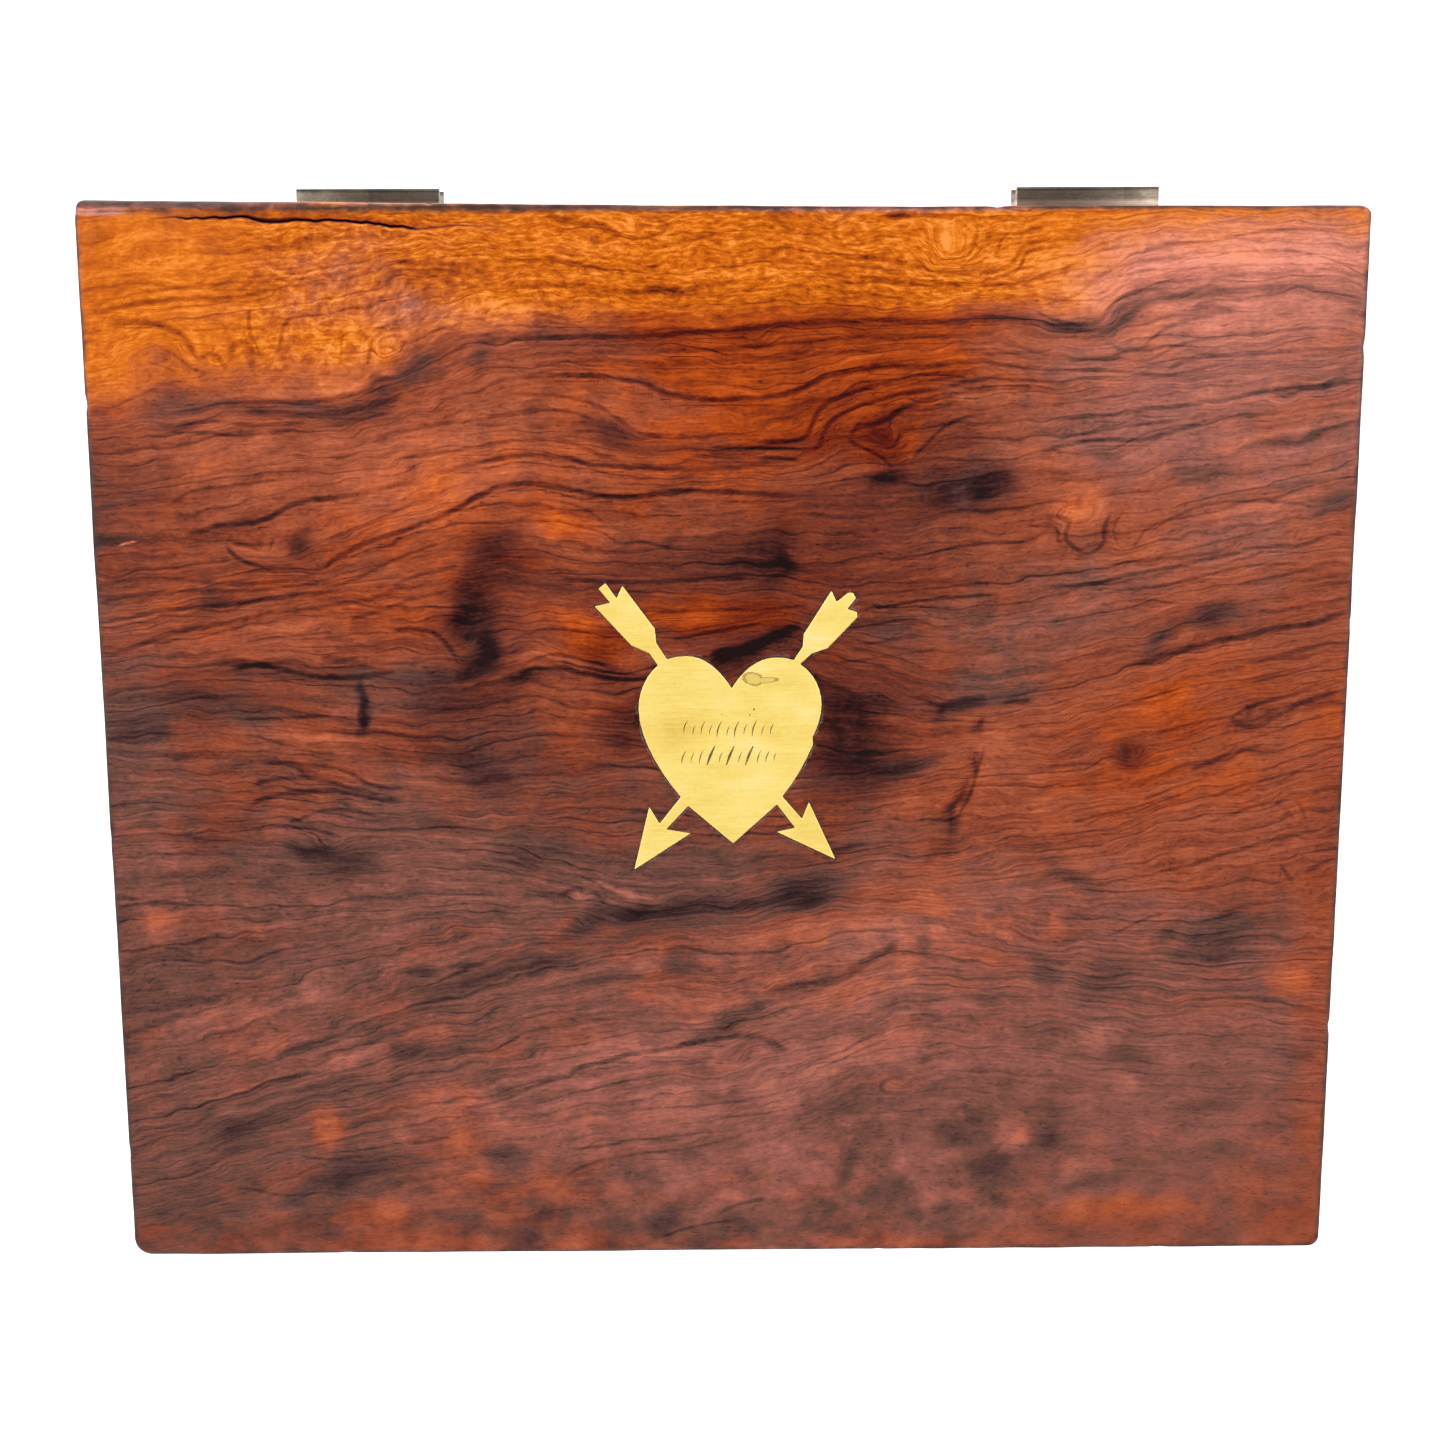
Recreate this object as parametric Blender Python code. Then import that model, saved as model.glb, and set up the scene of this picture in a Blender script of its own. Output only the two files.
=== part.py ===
"""A hinged sewing box in figured wood, lid down, with a brass heart and crossed arrows let into its lid.

Metres, +Z up. The origin is the centre of the underside. -Y is the front and +Y the hinge side.
The case and the lid are each four mitred boards, the case with a base board let in from below and the
lid with a top board laid over its rails. Two stop hinges join them and halt the lid just past upright.
"""

import math

import bmesh
import bpy
from mathutils import Matrix, Vector
from mathutils.geometry import interpolate_bezier

# Outside of the closed box
WIDTH = 0.300
DEPTH = 0.257
CASE_HEIGHT = 0.094
LID_HEIGHT = 0.032

# Boards
WALL = 0.009
BASE_THICKNESS = 0.008
BASE_REBATE = 0.005
TOP_THICKNESS = 0.008
JOINT_GAP = 0.0003

# Worn vertical corners, and the softened edges
FRONT_LEFT_RADIUS = 0.0040
FRONT_RIGHT_RADIUS = 0.0030
BACK_RIGHT_RADIUS = 0.0025
BACK_LEFT_RADIUS = 0.0018
ARRIS = 0.0006
TOP_ARRIS = 0.0012
CORNER_STEPS = 3
ARRIS_STEPS = 2

# The top board's back edge runs out of square towards the left corner
BACK_FLARE = 0.0022
BACK_FLARE_LENGTH = 0.115
BACK_FLARE_CURVE = 1.3
BACK_FLARE_STEPS = 5

# The same edge is worn down towards both corners, by a facet that fades along the edge
LEFT_WEAR_REACH = 0.0048
LEFT_WEAR_DROP = 0.0026
LEFT_WEAR_LENGTH = 0.105
RIGHT_WEAR_REACH = 0.0016
RIGHT_WEAR_DROP = 0.0012
RIGHT_WEAR_LENGTH = 0.060

# A crack along the grain, open from above. Each point of its front lip is given from the board's left
# side and from its back edge, with the crack's width there.
CRACK_DEPTH = 0.0018
CRACK_LIP = (
    (0.0226, 0.0039, 0.0),
    (0.0293, 0.0042, 0.0003),
    (0.0347, 0.0040, 0.0004),
    (0.0388, 0.0035, 0.0004),
    (0.0434, 0.0049, 0.0008),
    (0.0468, 0.0049, 0.0007),
    (0.0502, 0.0044, 0.0005),
    (0.0563, 0.0045, 0.0004),
    (0.0597, 0.0043, 0.0004),
    (0.0650, 0.0047, 0.0004),
    (0.0718, 0.0053, 0.0005),
    (0.0778, 0.0060, 0.0003),
    (0.0805, 0.0059, 0.0),
)

# Brass inlay
HEART_WIDTH = 0.0441
INLAY_THICKNESS = 0.0010

# Stop hinges
HINGE_LENGTH = 0.0347
LEFT_HINGE_INSET = 0.0635
RIGHT_HINGE_INSET = 0.0612
LEAF_THICKNESS = 0.0016
LEAF_MARGIN = 0.0022
LEAF_CORNER = 0.0008
KNUCKLE_RADIUS = 0.0019
KNUCKLE_WALL = 0.0009
MIDDLE_KNUCKLE = 0.0118
PIN_RUNNING_GAP = 0.0001
AXIS_SET_BACK = 0.0030
STOP_ANGLE = math.radians(95)
STOP_REACH = 0.0034
STOP_LAND = 0.0009
STOP_ARRIS = 0.0004
PIN_END_ARRIS = 0.0002
ROUND_SIDES = 24

# Countersunk screws
SCREWS_PER_LEAF = 3
SCREW_END_MARGIN = 0.0050
SCREW_HEAD_RADIUS = 0.0021
SCREW_HEAD_DEPTH = 0.0011
SCREW_SHANK_RADIUS = 0.0010
SCREW_LENGTH = 0.0080
SCREW_POINT = 0.0020
SCREW_SLOT_WIDTH = 0.0005
SCREW_SLOT_DEPTH = 0.0005
# Each screw's slot is left turned this much further than its neighbour's
SCREW_SLOT_TURN = math.radians(40)
SCREW_GAP = 0.0002
SCREW_SIDES = 16

# How far a cutter runs past the face that it cuts, and the length below which two places are the same
CUT_MARGIN = 0.0020
SAME_PLACE = 1e-6
# A round piece's edge is kept sharp where its faces meet at more than this
SHARP_ANGLE = math.radians(35)

# Sizes that follow from the ones above
RIM = CASE_HEIGHT
TOTAL_HEIGHT = CASE_HEIGHT + LID_HEIGHT
HALF_GAP = JOINT_GAP / 2
BACK = DEPTH / 2
AXIS = Vector((0, BACK + AXIS_SET_BACK, RIM))
LEAF_DEPTH = WALL - LEAF_MARGIN
BORE_RADIUS = KNUCKLE_RADIUS - KNUCKLE_WALL
PIN_RADIUS = BORE_RADIUS - PIN_RUNNING_GAP
SCREW_ROW = BACK - LEAF_DEPTH / 2
LEFT_HINGE_X = -WIDTH / 2 + LEFT_HINGE_INSET
RIGHT_HINGE_X = WIDTH / 2 - RIGHT_HINGE_INSET

# Corners anticlockwise from the front left: which way each one lies, and its radius
CORNERS = (
    (-1, -1, FRONT_LEFT_RADIUS),
    (1, -1, FRONT_RIGHT_RADIUS),
    (1, 1, BACK_RIGHT_RADIUS),
    (-1, 1, BACK_LEFT_RADIUS),
)
# Sides anticlockwise from the front. A side runs from the corner of its own number to the next one
SIDES = ("front", "right", "back", "left")

# Outline of the inlay about the lid's centre, anticlockwise from the heart's cleft. It is drawn in
# millimetres for a heart DRAWN_HEART_WIDTH wide. A point alone ends a straight line. An entry of two
# handles, an end point and a number of steps is a curve.
DRAWN_HEART_WIDTH = 44.1
HEART_CLEFT = (1.25, 16.0)
LEFT_LOBE = (
    ((-1.7, 20.6), (-5.2, 23.9), (-9.8, 23.85), 8),
    ((-11.4, 23.85), (-13.0, 23.6), (-14.25, 23.1), 2),
)
LEFT_FEATHERS = (
    (-16.75, 27.0), (-17.1, 30.5), (-24.75, 40.9), (-26.15, 37.85), (-28.75, 41.5), (-30.5, 40.1),
    (-27.75, 36.75), (-31.5, 35.9), (-22.75, 26.4), (-18.5, 24.5), (-16.5, 21.6),
)
LEFT_FLANK = (
    ((-19.3, 19.2), (-21.2, 15.4), (-21.25, 11.0), 6),
    ((-21.3, 3.8), (-16.2, -4.6), (-11.25, -10.75), 7),
)
LEFT_ARROWHEAD = (
    (-16.4, -17.25), (-18.9, -13.0), (-22.75, -28.9), (-8.75, -19.75), (-14.75, -18.75), (-9.4, -13.0),
)
HEART_TIP = (1.5, -22.4)
RIGHT_ARROWHEAD = (
    (12.15, -12.75), (16.5, -18.5), (12.0, -19.5), (26.5, -26.5), (19.9, -12.0), (18.25, -16.25),
    (13.5, -10.75),
)
RIGHT_FLANK = (
    ((16.8, -6.6), (18.9, -2.6), (20.9, 2.0), 4),
    (20.8, 3.9),
    ((22.0, 6.2), (22.9, 8.9), (22.9, 11.8), 4),
    ((22.9, 15.4), (21.4, 19.2), (17.75, 21.75), 6),
)
RIGHT_FEATHERS = (
    (20.5, 24.25), (24.25, 25.5), (31.4, 33.0), (31.25, 34.25), (29.0, 35.0), (31.0, 37.5),
    (30.25, 38.9), (29.0, 38.9), (26.35, 36.75), (25.1, 39.5), (18.5, 29.0), (18.25, 26.0),
    (16.15, 22.75),
)
RIGHT_LOBE = (
    ((14.9, 23.2), (13.4, 23.4), (12.0, 23.4), 2),
    ((7.4, 23.4), (3.8, 20.2), (1.25, 16.0), 8),
)
INLAY_RUNS = (
    (HEART_CLEFT,), LEFT_LOBE, LEFT_FEATHERS, LEFT_FLANK, LEFT_ARROWHEAD, (HEART_TIP,),
    RIGHT_ARROWHEAD, RIGHT_FLANK, RIGHT_FEATHERS, RIGHT_LOBE,
)
# A sharp corner of the recess is pushed out by no more than this many gaps
SHARP_CORNER_LIMIT = 2.5


def clear_scene():
    """Remove every object, so that the model starts from nothing."""
    for obj in list(bpy.data.objects):
        bpy.data.objects.remove(obj, do_unlink=True)


def make_material(name, colour, roughness, metallic=0.0):
    """A plain material of one colour."""
    material = bpy.data.materials.new(name)
    material.use_nodes = True
    shader = material.node_tree.nodes["Principled BSDF"]
    shader.inputs["Base Color"].default_value = (*colour, 1.0)
    shader.inputs["Roughness"].default_value = roughness
    shader.inputs["Metallic"].default_value = metallic
    return material


def place(obj, location, parent=None):
    """Put an object at a world location, under a parent that isn't turned."""
    obj.parent = parent
    obj.location = Vector(location) - (parent.location if parent else Vector())
    return obj


def make_axis(name, location):
    """An empty that stands on a joint's axis."""
    empty = bpy.data.objects.new(name, None)
    bpy.context.scene.collection.objects.link(empty)
    empty.location = location
    bpy.context.view_layer.update()
    return empty


def make_object(name, bm, material=None):
    """Turn a finished bmesh into an object of the scene."""
    bmesh.ops.recalc_face_normals(bm, faces=bm.faces)
    mesh = bpy.data.meshes.new(name)
    bm.to_mesh(mesh)
    bm.free()
    obj = bpy.data.objects.new(name, mesh)
    bpy.context.scene.collection.objects.link(obj)
    if material:
        mesh.materials.append(material)
    return obj


def make_cutter(name, bm, location, parent=None):
    """A shape that only serves another piece's Boolean."""
    cutter = place(make_object(name, bm), location, parent)
    cutter.hide_render = True
    cutter.display_type = "WIRE"
    return cutter


def combine(obj, tool, operation="DIFFERENCE"):
    """Cut a piece by a tool, or join the tool to it."""
    modifier = obj.modifiers.new(tool.name, "BOOLEAN")
    modifier.operation = operation
    modifier.object = tool


def prism(points, height):
    """An upright prism on a plan outline that runs anticlockwise, from z = 0."""
    bm = bmesh.new()
    face = bm.faces.new([bm.verts.new((x, y, 0)) for x, y in points])
    raised = bmesh.ops.extrude_face_region(bm, geom=[face])["geom"]
    top = [item for item in raised if isinstance(item, bmesh.types.BMVert)]
    bmesh.ops.translate(bm, vec=(0, 0, height), verts=top)
    return bm


def box(low, high):
    """A block between two corners."""
    low, high = Vector(low), Vector(high)
    bm = bmesh.new()
    place_and_size = Matrix.Translation((low + high) / 2) @ Matrix.Diagonal((*(high - low), 1))
    bmesh.ops.create_cube(bm, size=1, matrix=place_and_size)
    return bm


def rod_along_x(bm, radius, start, end, sides=ROUND_SIDES):
    """Add a round rod along X, about y = z = 0."""
    turned = Matrix.Translation(((start + end) / 2, 0, 0)) @ Matrix.Rotation(math.pi / 2, 4, "Y")
    bmesh.ops.create_cone(
        bm, cap_ends=True, segments=sides, radius1=radius, radius2=radius, depth=end - start, matrix=turned
    )
    return bm


def soften(bm, edges, width, steps=ARRIS_STEPS):
    """Round the given edges."""
    bmesh.ops.bevel(bm, geom=edges, offset=width, segments=steps, profile=0.5, affect="EDGES")


def shade_round(obj):
    """Shade a round piece smooth and keep its real edges."""
    obj.data.shade_smooth()
    obj.data.set_sharp_from_angle(angle=SHARP_ANGLE)


def corner_points(corner, start_angle, end_angle, steps):
    """Points of one plan corner's arc, from one direction to another."""
    side_x, side_y, radius = CORNERS[corner]
    centre = (side_x * (WIDTH / 2 - radius), side_y * (DEPTH / 2 - radius))
    angles = [start_angle + (end_angle - start_angle) * i / steps for i in range(steps + 1)]
    return [(centre[0] + radius * math.cos(a), centre[1] + radius * math.sin(a)) for a in angles]


def inner_corner(corner):
    """The corner of the hollow."""
    side_x, side_y, _ = CORNERS[corner]
    return side_x * (WIDTH / 2 - WALL), side_y * (DEPTH / 2 - WALL)


def mitred_board(side, height, soft_top, soft_bottom):
    """A side board in plan, mitred at both ends, with softened outer edges above and below."""
    facing = math.radians(90 * side - 90)
    first, last = side, (side + 1) % 4
    half_turn = math.radians(45)
    start = corner_points(first, facing - half_turn, facing, CORNER_STEPS)
    end = corner_points(last, facing, facing + half_turn, CORNER_STEPS)
    # Half of the gap in the mitre, measured along the board
    inset = JOINT_GAP / math.sqrt(2)
    along = (-math.sin(facing) * inset, math.cos(facing) * inset)
    start[0] = (start[0][0] + along[0], start[0][1] + along[1])
    end[-1] = (end[-1][0] - along[0], end[-1][1] - along[1])
    inner_end, inner_start = inner_corner(last), inner_corner(first)
    inner = [
        (inner_end[0] - along[0], inner_end[1] - along[1]),
        (inner_start[0] + along[0], inner_start[1] + along[1]),
    ]
    bm = prism(start + end + inner, height)
    outer = {(round(x, 6), round(y, 6)) for x, y in start + end}

    def is_arris(edge):
        levels = {round(v.co.z, 6) for v in edge.verts}
        flat = len(levels) == 1
        soft = (soft_top and levels == {round(height, 6)}) or (soft_bottom and levels == {0.0})
        return flat and soft and all((round(v.co.x, 6), round(v.co.y, 6)) in outer for v in edge.verts)

    soften(bm, [edge for edge in bm.edges if is_arris(edge)], ARRIS)
    return bm


def make_walls(prefix, label, bottom, top, material, soft_top, soft_bottom, parent=None):
    """The four mitred boards of the case or of the lid."""
    walls = {}
    for side, word in enumerate(SIDES):
        bm = mitred_board(side, top - bottom, soft_top, soft_bottom)
        board = make_object(f"{prefix}_{word}_{label}", bm, material)
        walls[word] = place(board, (0, 0, bottom), parent)
    return walls


def top_outline():
    """The top board's plan: four rounded corners, and the back edge that runs out at the left."""
    points = []
    for corner in range(4):
        facing = math.radians(90 * corner - 180)
        arc = corner_points(corner, facing, facing + math.radians(90), 2 * CORNER_STEPS)
        if corner == 3:
            points += flared_edge()
            arc = [(x, y + BACK_FLARE) for x, y in arc]
        points += arc
    return points


def flared_edge():
    """Points along the back edge, where it starts to run out towards the left corner."""
    corner_end = -WIDTH / 2 + BACK_LEFT_RADIUS
    points = []
    for i in range(BACK_FLARE_STEPS):
        share = i / BACK_FLARE_STEPS
        x = corner_end + BACK_FLARE_LENGTH * (1 - share)
        points.append((x, BACK + BACK_FLARE * share ** BACK_FLARE_CURVE))
    return points


def wear_back_edge(bm, side_x, edge_y, reach, drop, length):
    """Cut the board's upper back edge by a sloping plane that is deepest at one corner."""
    height = TOP_THICKNESS
    corner_x = side_x * WIDTH / 2
    fade = Vector((corner_x - side_x * length, BACK, height))
    inward = Vector((corner_x, edge_y - reach, height))
    down = Vector((corner_x, edge_y, height - drop))
    normal = (inward - fade).cross(down - fade).normalized()
    if normal.z < 0:
        normal.negate()
    everything = list(bm.verts) + list(bm.edges) + list(bm.faces)
    cut = bmesh.ops.bisect_plane(bm, geom=everything, plane_co=fade, plane_no=normal, clear_outer=True)
    rim = [item for item in cut["geom_cut"] if isinstance(item, bmesh.types.BMEdge)]
    bmesh.ops.edgeloop_fill(bm, edges=rim)


def make_top_board(material, parent):
    """The lid's top board: softened all round above, worn at the back, and cracked along the grain."""
    height = TOP_THICKNESS
    bm = prism(top_outline(), height)
    upper = [edge for edge in bm.edges if all(height - v.co.z < SAME_PLACE for v in edge.verts)]
    soften(bm, upper, TOP_ARRIS)
    wear_back_edge(bm, -1, BACK + BACK_FLARE, LEFT_WEAR_REACH, LEFT_WEAR_DROP, LEFT_WEAR_LENGTH)
    wear_back_edge(bm, 1, BACK, RIGHT_WEAR_REACH, RIGHT_WEAR_DROP, RIGHT_WEAR_LENGTH)
    board = make_object("lid_top_board", bm, material)
    place(board, (0, 0, TOTAL_HEIGHT - height), parent)
    crack = prism(crack_outline(), CRACK_DEPTH + CUT_MARGIN)
    combine(board, make_cutter("crack", crack, (0, 0, TOTAL_HEIGHT - CRACK_DEPTH), parent))
    return board


def crack_outline():
    """The crack in plan: along its front lip to the right, and back along the other lip."""
    front = [(-WIDTH / 2 + from_left, BACK - from_back) for from_left, from_back, _ in CRACK_LIP]
    rear = [(x, y + width) for (x, y), (_, _, width) in zip(front, CRACK_LIP) if width]
    return front + rear[::-1]


def inlay_outline():
    """The heart and arrows in metres, curves and straight lines run together."""
    points = []
    for run in INLAY_RUNS:
        for entry in run:
            if len(entry) == 2:
                points.append(Vector(entry))
                continue
            handle_out, handle_in, end, steps = entry
            shape = (points[-1], Vector(handle_out), Vector(handle_in), Vector(end))
            points += [point.to_2d() for point in interpolate_bezier(*shape, steps + 1)[1:]]
    # The last curve ends in the cleft, where the outline began
    points.pop()
    return [point * HEART_WIDTH / DRAWN_HEART_WIDTH for point in points]


def widened(points, distance):
    """An anticlockwise outline pushed out by a distance, with its sharp corners held back."""
    result = []
    for i, point in enumerate(points):
        before = (point - points[i - 1]).normalized()
        after = (points[(i + 1) % len(points)] - point).normalized()
        normal = Vector((before.y + after.y, -before.x - after.x))
        normal.normalize()
        share = max(normal.x * before.y - normal.y * before.x, 1 / SHARP_CORNER_LIMIT)
        result.append(point + normal * distance / share)
    return result


def make_inlay(brass, top_board, parent):
    """The brass heart and arrows, one plate, and its recess in the top board."""
    outline = inlay_outline()
    plate = make_object("heart_and_arrows_inlay", prism(outline, INLAY_THICKNESS), brass)
    place(plate, (0, 0, TOTAL_HEIGHT - INLAY_THICKNESS), parent)
    depth = INLAY_THICKNESS + JOINT_GAP
    recess = prism(widened(outline, JOINT_GAP), depth + CUT_MARGIN)
    combine(top_board, make_cutter("inlay_recess", recess, (0, 0, TOTAL_HEIGHT - depth), parent))


def make_base_board(material, walls):
    """The base board, let up into a rebate that runs round the foot of the case."""
    half_x = WIDTH / 2 - WALL + BASE_REBATE
    half_y = DEPTH / 2 - WALL + BASE_REBATE
    rebate = box(
        (-half_x, -half_y, -CUT_MARGIN),
        (half_x, half_y, BASE_THICKNESS + JOINT_GAP),
    )
    cutter = make_cutter("base_rebate", rebate, (0, 0, 0))
    for wall in walls.values():
        combine(wall, cutter)
    fitted_x, fitted_y = half_x - JOINT_GAP, half_y - JOINT_GAP
    plan = [(-fitted_x, -fitted_y), (fitted_x, -fitted_y), (fitted_x, fitted_y), (-fitted_x, fitted_y)]
    bm = prism(plan, BASE_THICKNESS)
    place(make_object("base_board", bm, material), (0, 0, 0))


def leaf_section(up):
    """Section of a hinge leaf about the pin's axis, as (y, z): plate, stop bar and its sloping stop face.

    up is 1 for the lid's leaf and -1 for the case's, which is its mirror image.
    """
    slope = math.tan(STOP_ANGLE / 2)
    plate_start = -AXIS_SET_BACK - LEAF_DEPTH
    bar_start = -AXIS_SET_BACK + JOINT_GAP
    bar_top = STOP_REACH * slope + STOP_LAND
    # The two stop faces close on each other with the joint gap between them
    face_lift = HALF_GAP / math.cos(STOP_ANGLE / 2)
    points = [
        (plate_start, HALF_GAP),
        ((HALF_GAP - face_lift) / slope, HALF_GAP),
        (STOP_REACH, STOP_REACH * slope + face_lift),
        (STOP_REACH, bar_top - STOP_ARRIS + face_lift),
        (STOP_REACH - STOP_ARRIS, bar_top + face_lift),
        (bar_start, bar_top + face_lift),
        (bar_start, LEAF_THICKNESS + HALF_GAP),
        (plate_start, LEAF_THICKNESS + HALF_GAP),
    ]
    return [(y, up * z) for y, z in points]


def make_leaf(name, up, centre_x, material, parent):
    """A hinge leaf, its knuckles on the pin's axis, bored for the pin and countersunk for the screws."""
    half = HINGE_LENGTH / 2
    middle = MIDDLE_KNUCKLE / 2
    gap_end = middle + JOINT_GAP
    if up > 0:
        own = [(-middle, middle)]
        cleared = [(-half - CUT_MARGIN, -middle), (middle, half + CUT_MARGIN)]
    else:
        own = [(-half, -gap_end), (gap_end, half)]
        cleared = [(-gap_end, gap_end)]

    bm = bmesh.new()
    face = bm.faces.new([bm.verts.new((-half, y, z)) for y, z in leaf_section(up)])
    moved = bmesh.ops.extrude_face_region(bm, geom=[face])["geom"]
    far_end = [item for item in moved if isinstance(item, bmesh.types.BMVert)]
    bmesh.ops.translate(bm, vec=(HINGE_LENGTH, 0, 0), verts=far_end)
    soften(bm, plate_corners(bm), LEAF_CORNER)
    leaf = place(make_object(name, bm, material), (centre_x, AXIS.y, AXIS.z), parent)

    at = (centre_x, AXIS.y, AXIS.z)
    clearance, knuckles = bmesh.new(), bmesh.new()
    for start, end in cleared:
        rod_along_x(clearance, KNUCKLE_RADIUS + JOINT_GAP, start, end)
    for start, end in own:
        rod_along_x(knuckles, KNUCKLE_RADIUS, start, end)
    bore = rod_along_x(bmesh.new(), BORE_RADIUS, -half - CUT_MARGIN, half + CUT_MARGIN)
    tools = (
        ("clearance", clearance, "DIFFERENCE"),
        ("knuckles", knuckles, "UNION"),
        ("bore", bore, "DIFFERENCE"),
    )
    for word, shape, operation in tools:
        tool = make_cutter(f"{name}_{word}", shape, at, parent)
        shade_round(tool)
        combine(leaf, tool, operation)

    # Each countersink is the screw's own outline with the screw gap added
    holes = bmesh.new()
    for x in screw_places():
        add_screw_form(holes, (x, SCREW_ROW - AXIS.y, up * HALF_GAP), up, SCREW_GAP)
    combine(leaf, make_cutter(f"{name}_countersinks", holes, at, parent))
    return leaf


def plate_corners(bm):
    """The two upright edges at the free corners of a leaf's plate."""
    inner = min(v.co.y for v in bm.verts)
    return [
        edge for edge in bm.edges
        if all(v.co.y - inner < SAME_PLACE for v in edge.verts)
        and abs(edge.verts[0].co.x - edge.verts[1].co.x) < SAME_PLACE
    ]


def screw_places():
    """Where a leaf's screws stand along it, from its middle."""
    reach = HINGE_LENGTH - 2 * SCREW_END_MARGIN
    return [reach * (i / (SCREWS_PER_LEAF - 1) - 0.5) for i in range(SCREWS_PER_LEAF)]


def add_screw_form(bm, head, up, gap):
    """Add a countersunk screw's turned form, from its head into the wood, grown by a gap all round.

    A grown form also stands past the head, so that it cuts right through the face.
    """
    proud = CUT_MARGIN if gap else 0
    head_radius = SCREW_HEAD_RADIUS + gap
    shank_radius = SCREW_SHANK_RADIUS + gap
    head_depth = SCREW_HEAD_DEPTH + gap
    length = SCREW_LENGTH + gap
    profile = [
        (head_radius, -proud),
        (head_radius, 0),
        (shank_radius, head_depth),
        (shank_radius, length - SCREW_POINT),
    ]
    if not gap:
        profile.pop(0)
    rings = []
    for radius, depth in profile:
        ring = []
        for i in range(SCREW_SIDES):
            turn = 2 * math.pi * i / SCREW_SIDES
            offset = Vector((radius * math.cos(turn), radius * math.sin(turn), up * depth))
            ring.append(bm.verts.new(Vector(head) + offset))
        rings.append(ring)
    point = bm.verts.new(Vector(head) + Vector((0, 0, up * length)))
    for upper, lower in zip(rings, rings[1:]):
        for i in range(SCREW_SIDES):
            j = (i + 1) % SCREW_SIDES
            bm.faces.new((upper[i], upper[j], lower[j], lower[i]))
    for i in range(SCREW_SIDES):
        bm.faces.new((rings[-1][i], rings[-1][(i + 1) % SCREW_SIDES], point))
    bm.faces.new(rings[0])
    bmesh.ops.recalc_face_normals(bm, faces=bm.faces)


def make_screws(name, up, centre_x, wood, steel, parent):
    """A leaf's screws, and their pilot holes in the board that carries it."""
    holes = bmesh.new()
    for number, x in enumerate(screw_places(), start=1):
        bm = bmesh.new()
        add_screw_form(bm, (0, 0, 0), up, 0)
        screw = make_object(f"{name}_screw_{number}", bm, steel)
        head = (centre_x + x, SCREW_ROW, AXIS.z + up * HALF_GAP)
        place(screw, head, parent)
        half_slot = SCREW_SLOT_WIDTH / 2
        slot = box(
            (-SCREW_HEAD_RADIUS - CUT_MARGIN, -half_slot, min(-up * CUT_MARGIN, up * SCREW_SLOT_DEPTH)),
            (SCREW_HEAD_RADIUS + CUT_MARGIN, half_slot, max(-up * CUT_MARGIN, up * SCREW_SLOT_DEPTH)),
        )
        turn = Matrix.Rotation(SCREW_SLOT_TURN * number, 3, "Z")
        bmesh.ops.rotate(slot, cent=(0, 0, 0), matrix=turn, verts=slot.verts)
        combine(screw, make_cutter(f"{screw.name}_slot", slot, head, parent))
        shade_round(screw)
        add_screw_form(holes, (x, 0, 0), up, SCREW_GAP)
    at = (centre_x, SCREW_ROW, AXIS.z + up * HALF_GAP)
    combine(wood, make_cutter(f"{name}_pilot_holes", holes, at, parent))


def make_mortise(name, up, centre_x, wood, parent):
    """The shallow recess in a rim that a leaf's plate is let into, open at the back."""
    half = HINGE_LENGTH / 2 + JOINT_GAP
    depth = LEAF_THICKNESS + HALF_GAP + JOINT_GAP
    mortise = box(
        (-half, -LEAF_DEPTH - JOINT_GAP, min(-up * CUT_MARGIN, up * depth)),
        (half, CUT_MARGIN, max(-up * CUT_MARGIN, up * depth)),
    )
    combine(wood, make_cutter(f"{name}_mortise", mortise, (centre_x, BACK, AXIS.z), parent))


def make_pin(name, centre_x, material):
    """The pin that the knuckles turn on, as long as the hinge."""
    half = HINGE_LENGTH / 2
    bm = rod_along_x(bmesh.new(), PIN_RADIUS, -half, half)
    ends = [edge for edge in bm.edges if abs(edge.verts[0].co.x - edge.verts[1].co.x) < SAME_PLACE]
    soften(bm, ends, PIN_END_ARRIS, 1)
    pin = place(make_object(name, bm, material), (centre_x, AXIS.y, AXIS.z))
    shade_round(pin)


def make_hinge(name, centre_x, back_boards, metals, lid_axis):
    """One stop hinge: a leaf on the case, a leaf on the lid, the pin and the screws."""
    case_back, lid_back = back_boards
    aged_brass, steel = metals
    for word, up, wood, parent in (("case", -1, case_back, None), ("lid", 1, lid_back, lid_axis)):
        part = f"{name}_{word}"
        shade_round(make_leaf(f"{part}_leaf", up, centre_x, aged_brass, parent))
        make_mortise(part, up, centre_x, wood, parent)
        make_screws(part, up, centre_x, wood, steel, parent)
    make_pin(f"{name}_pin", centre_x, aged_brass)


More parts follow.
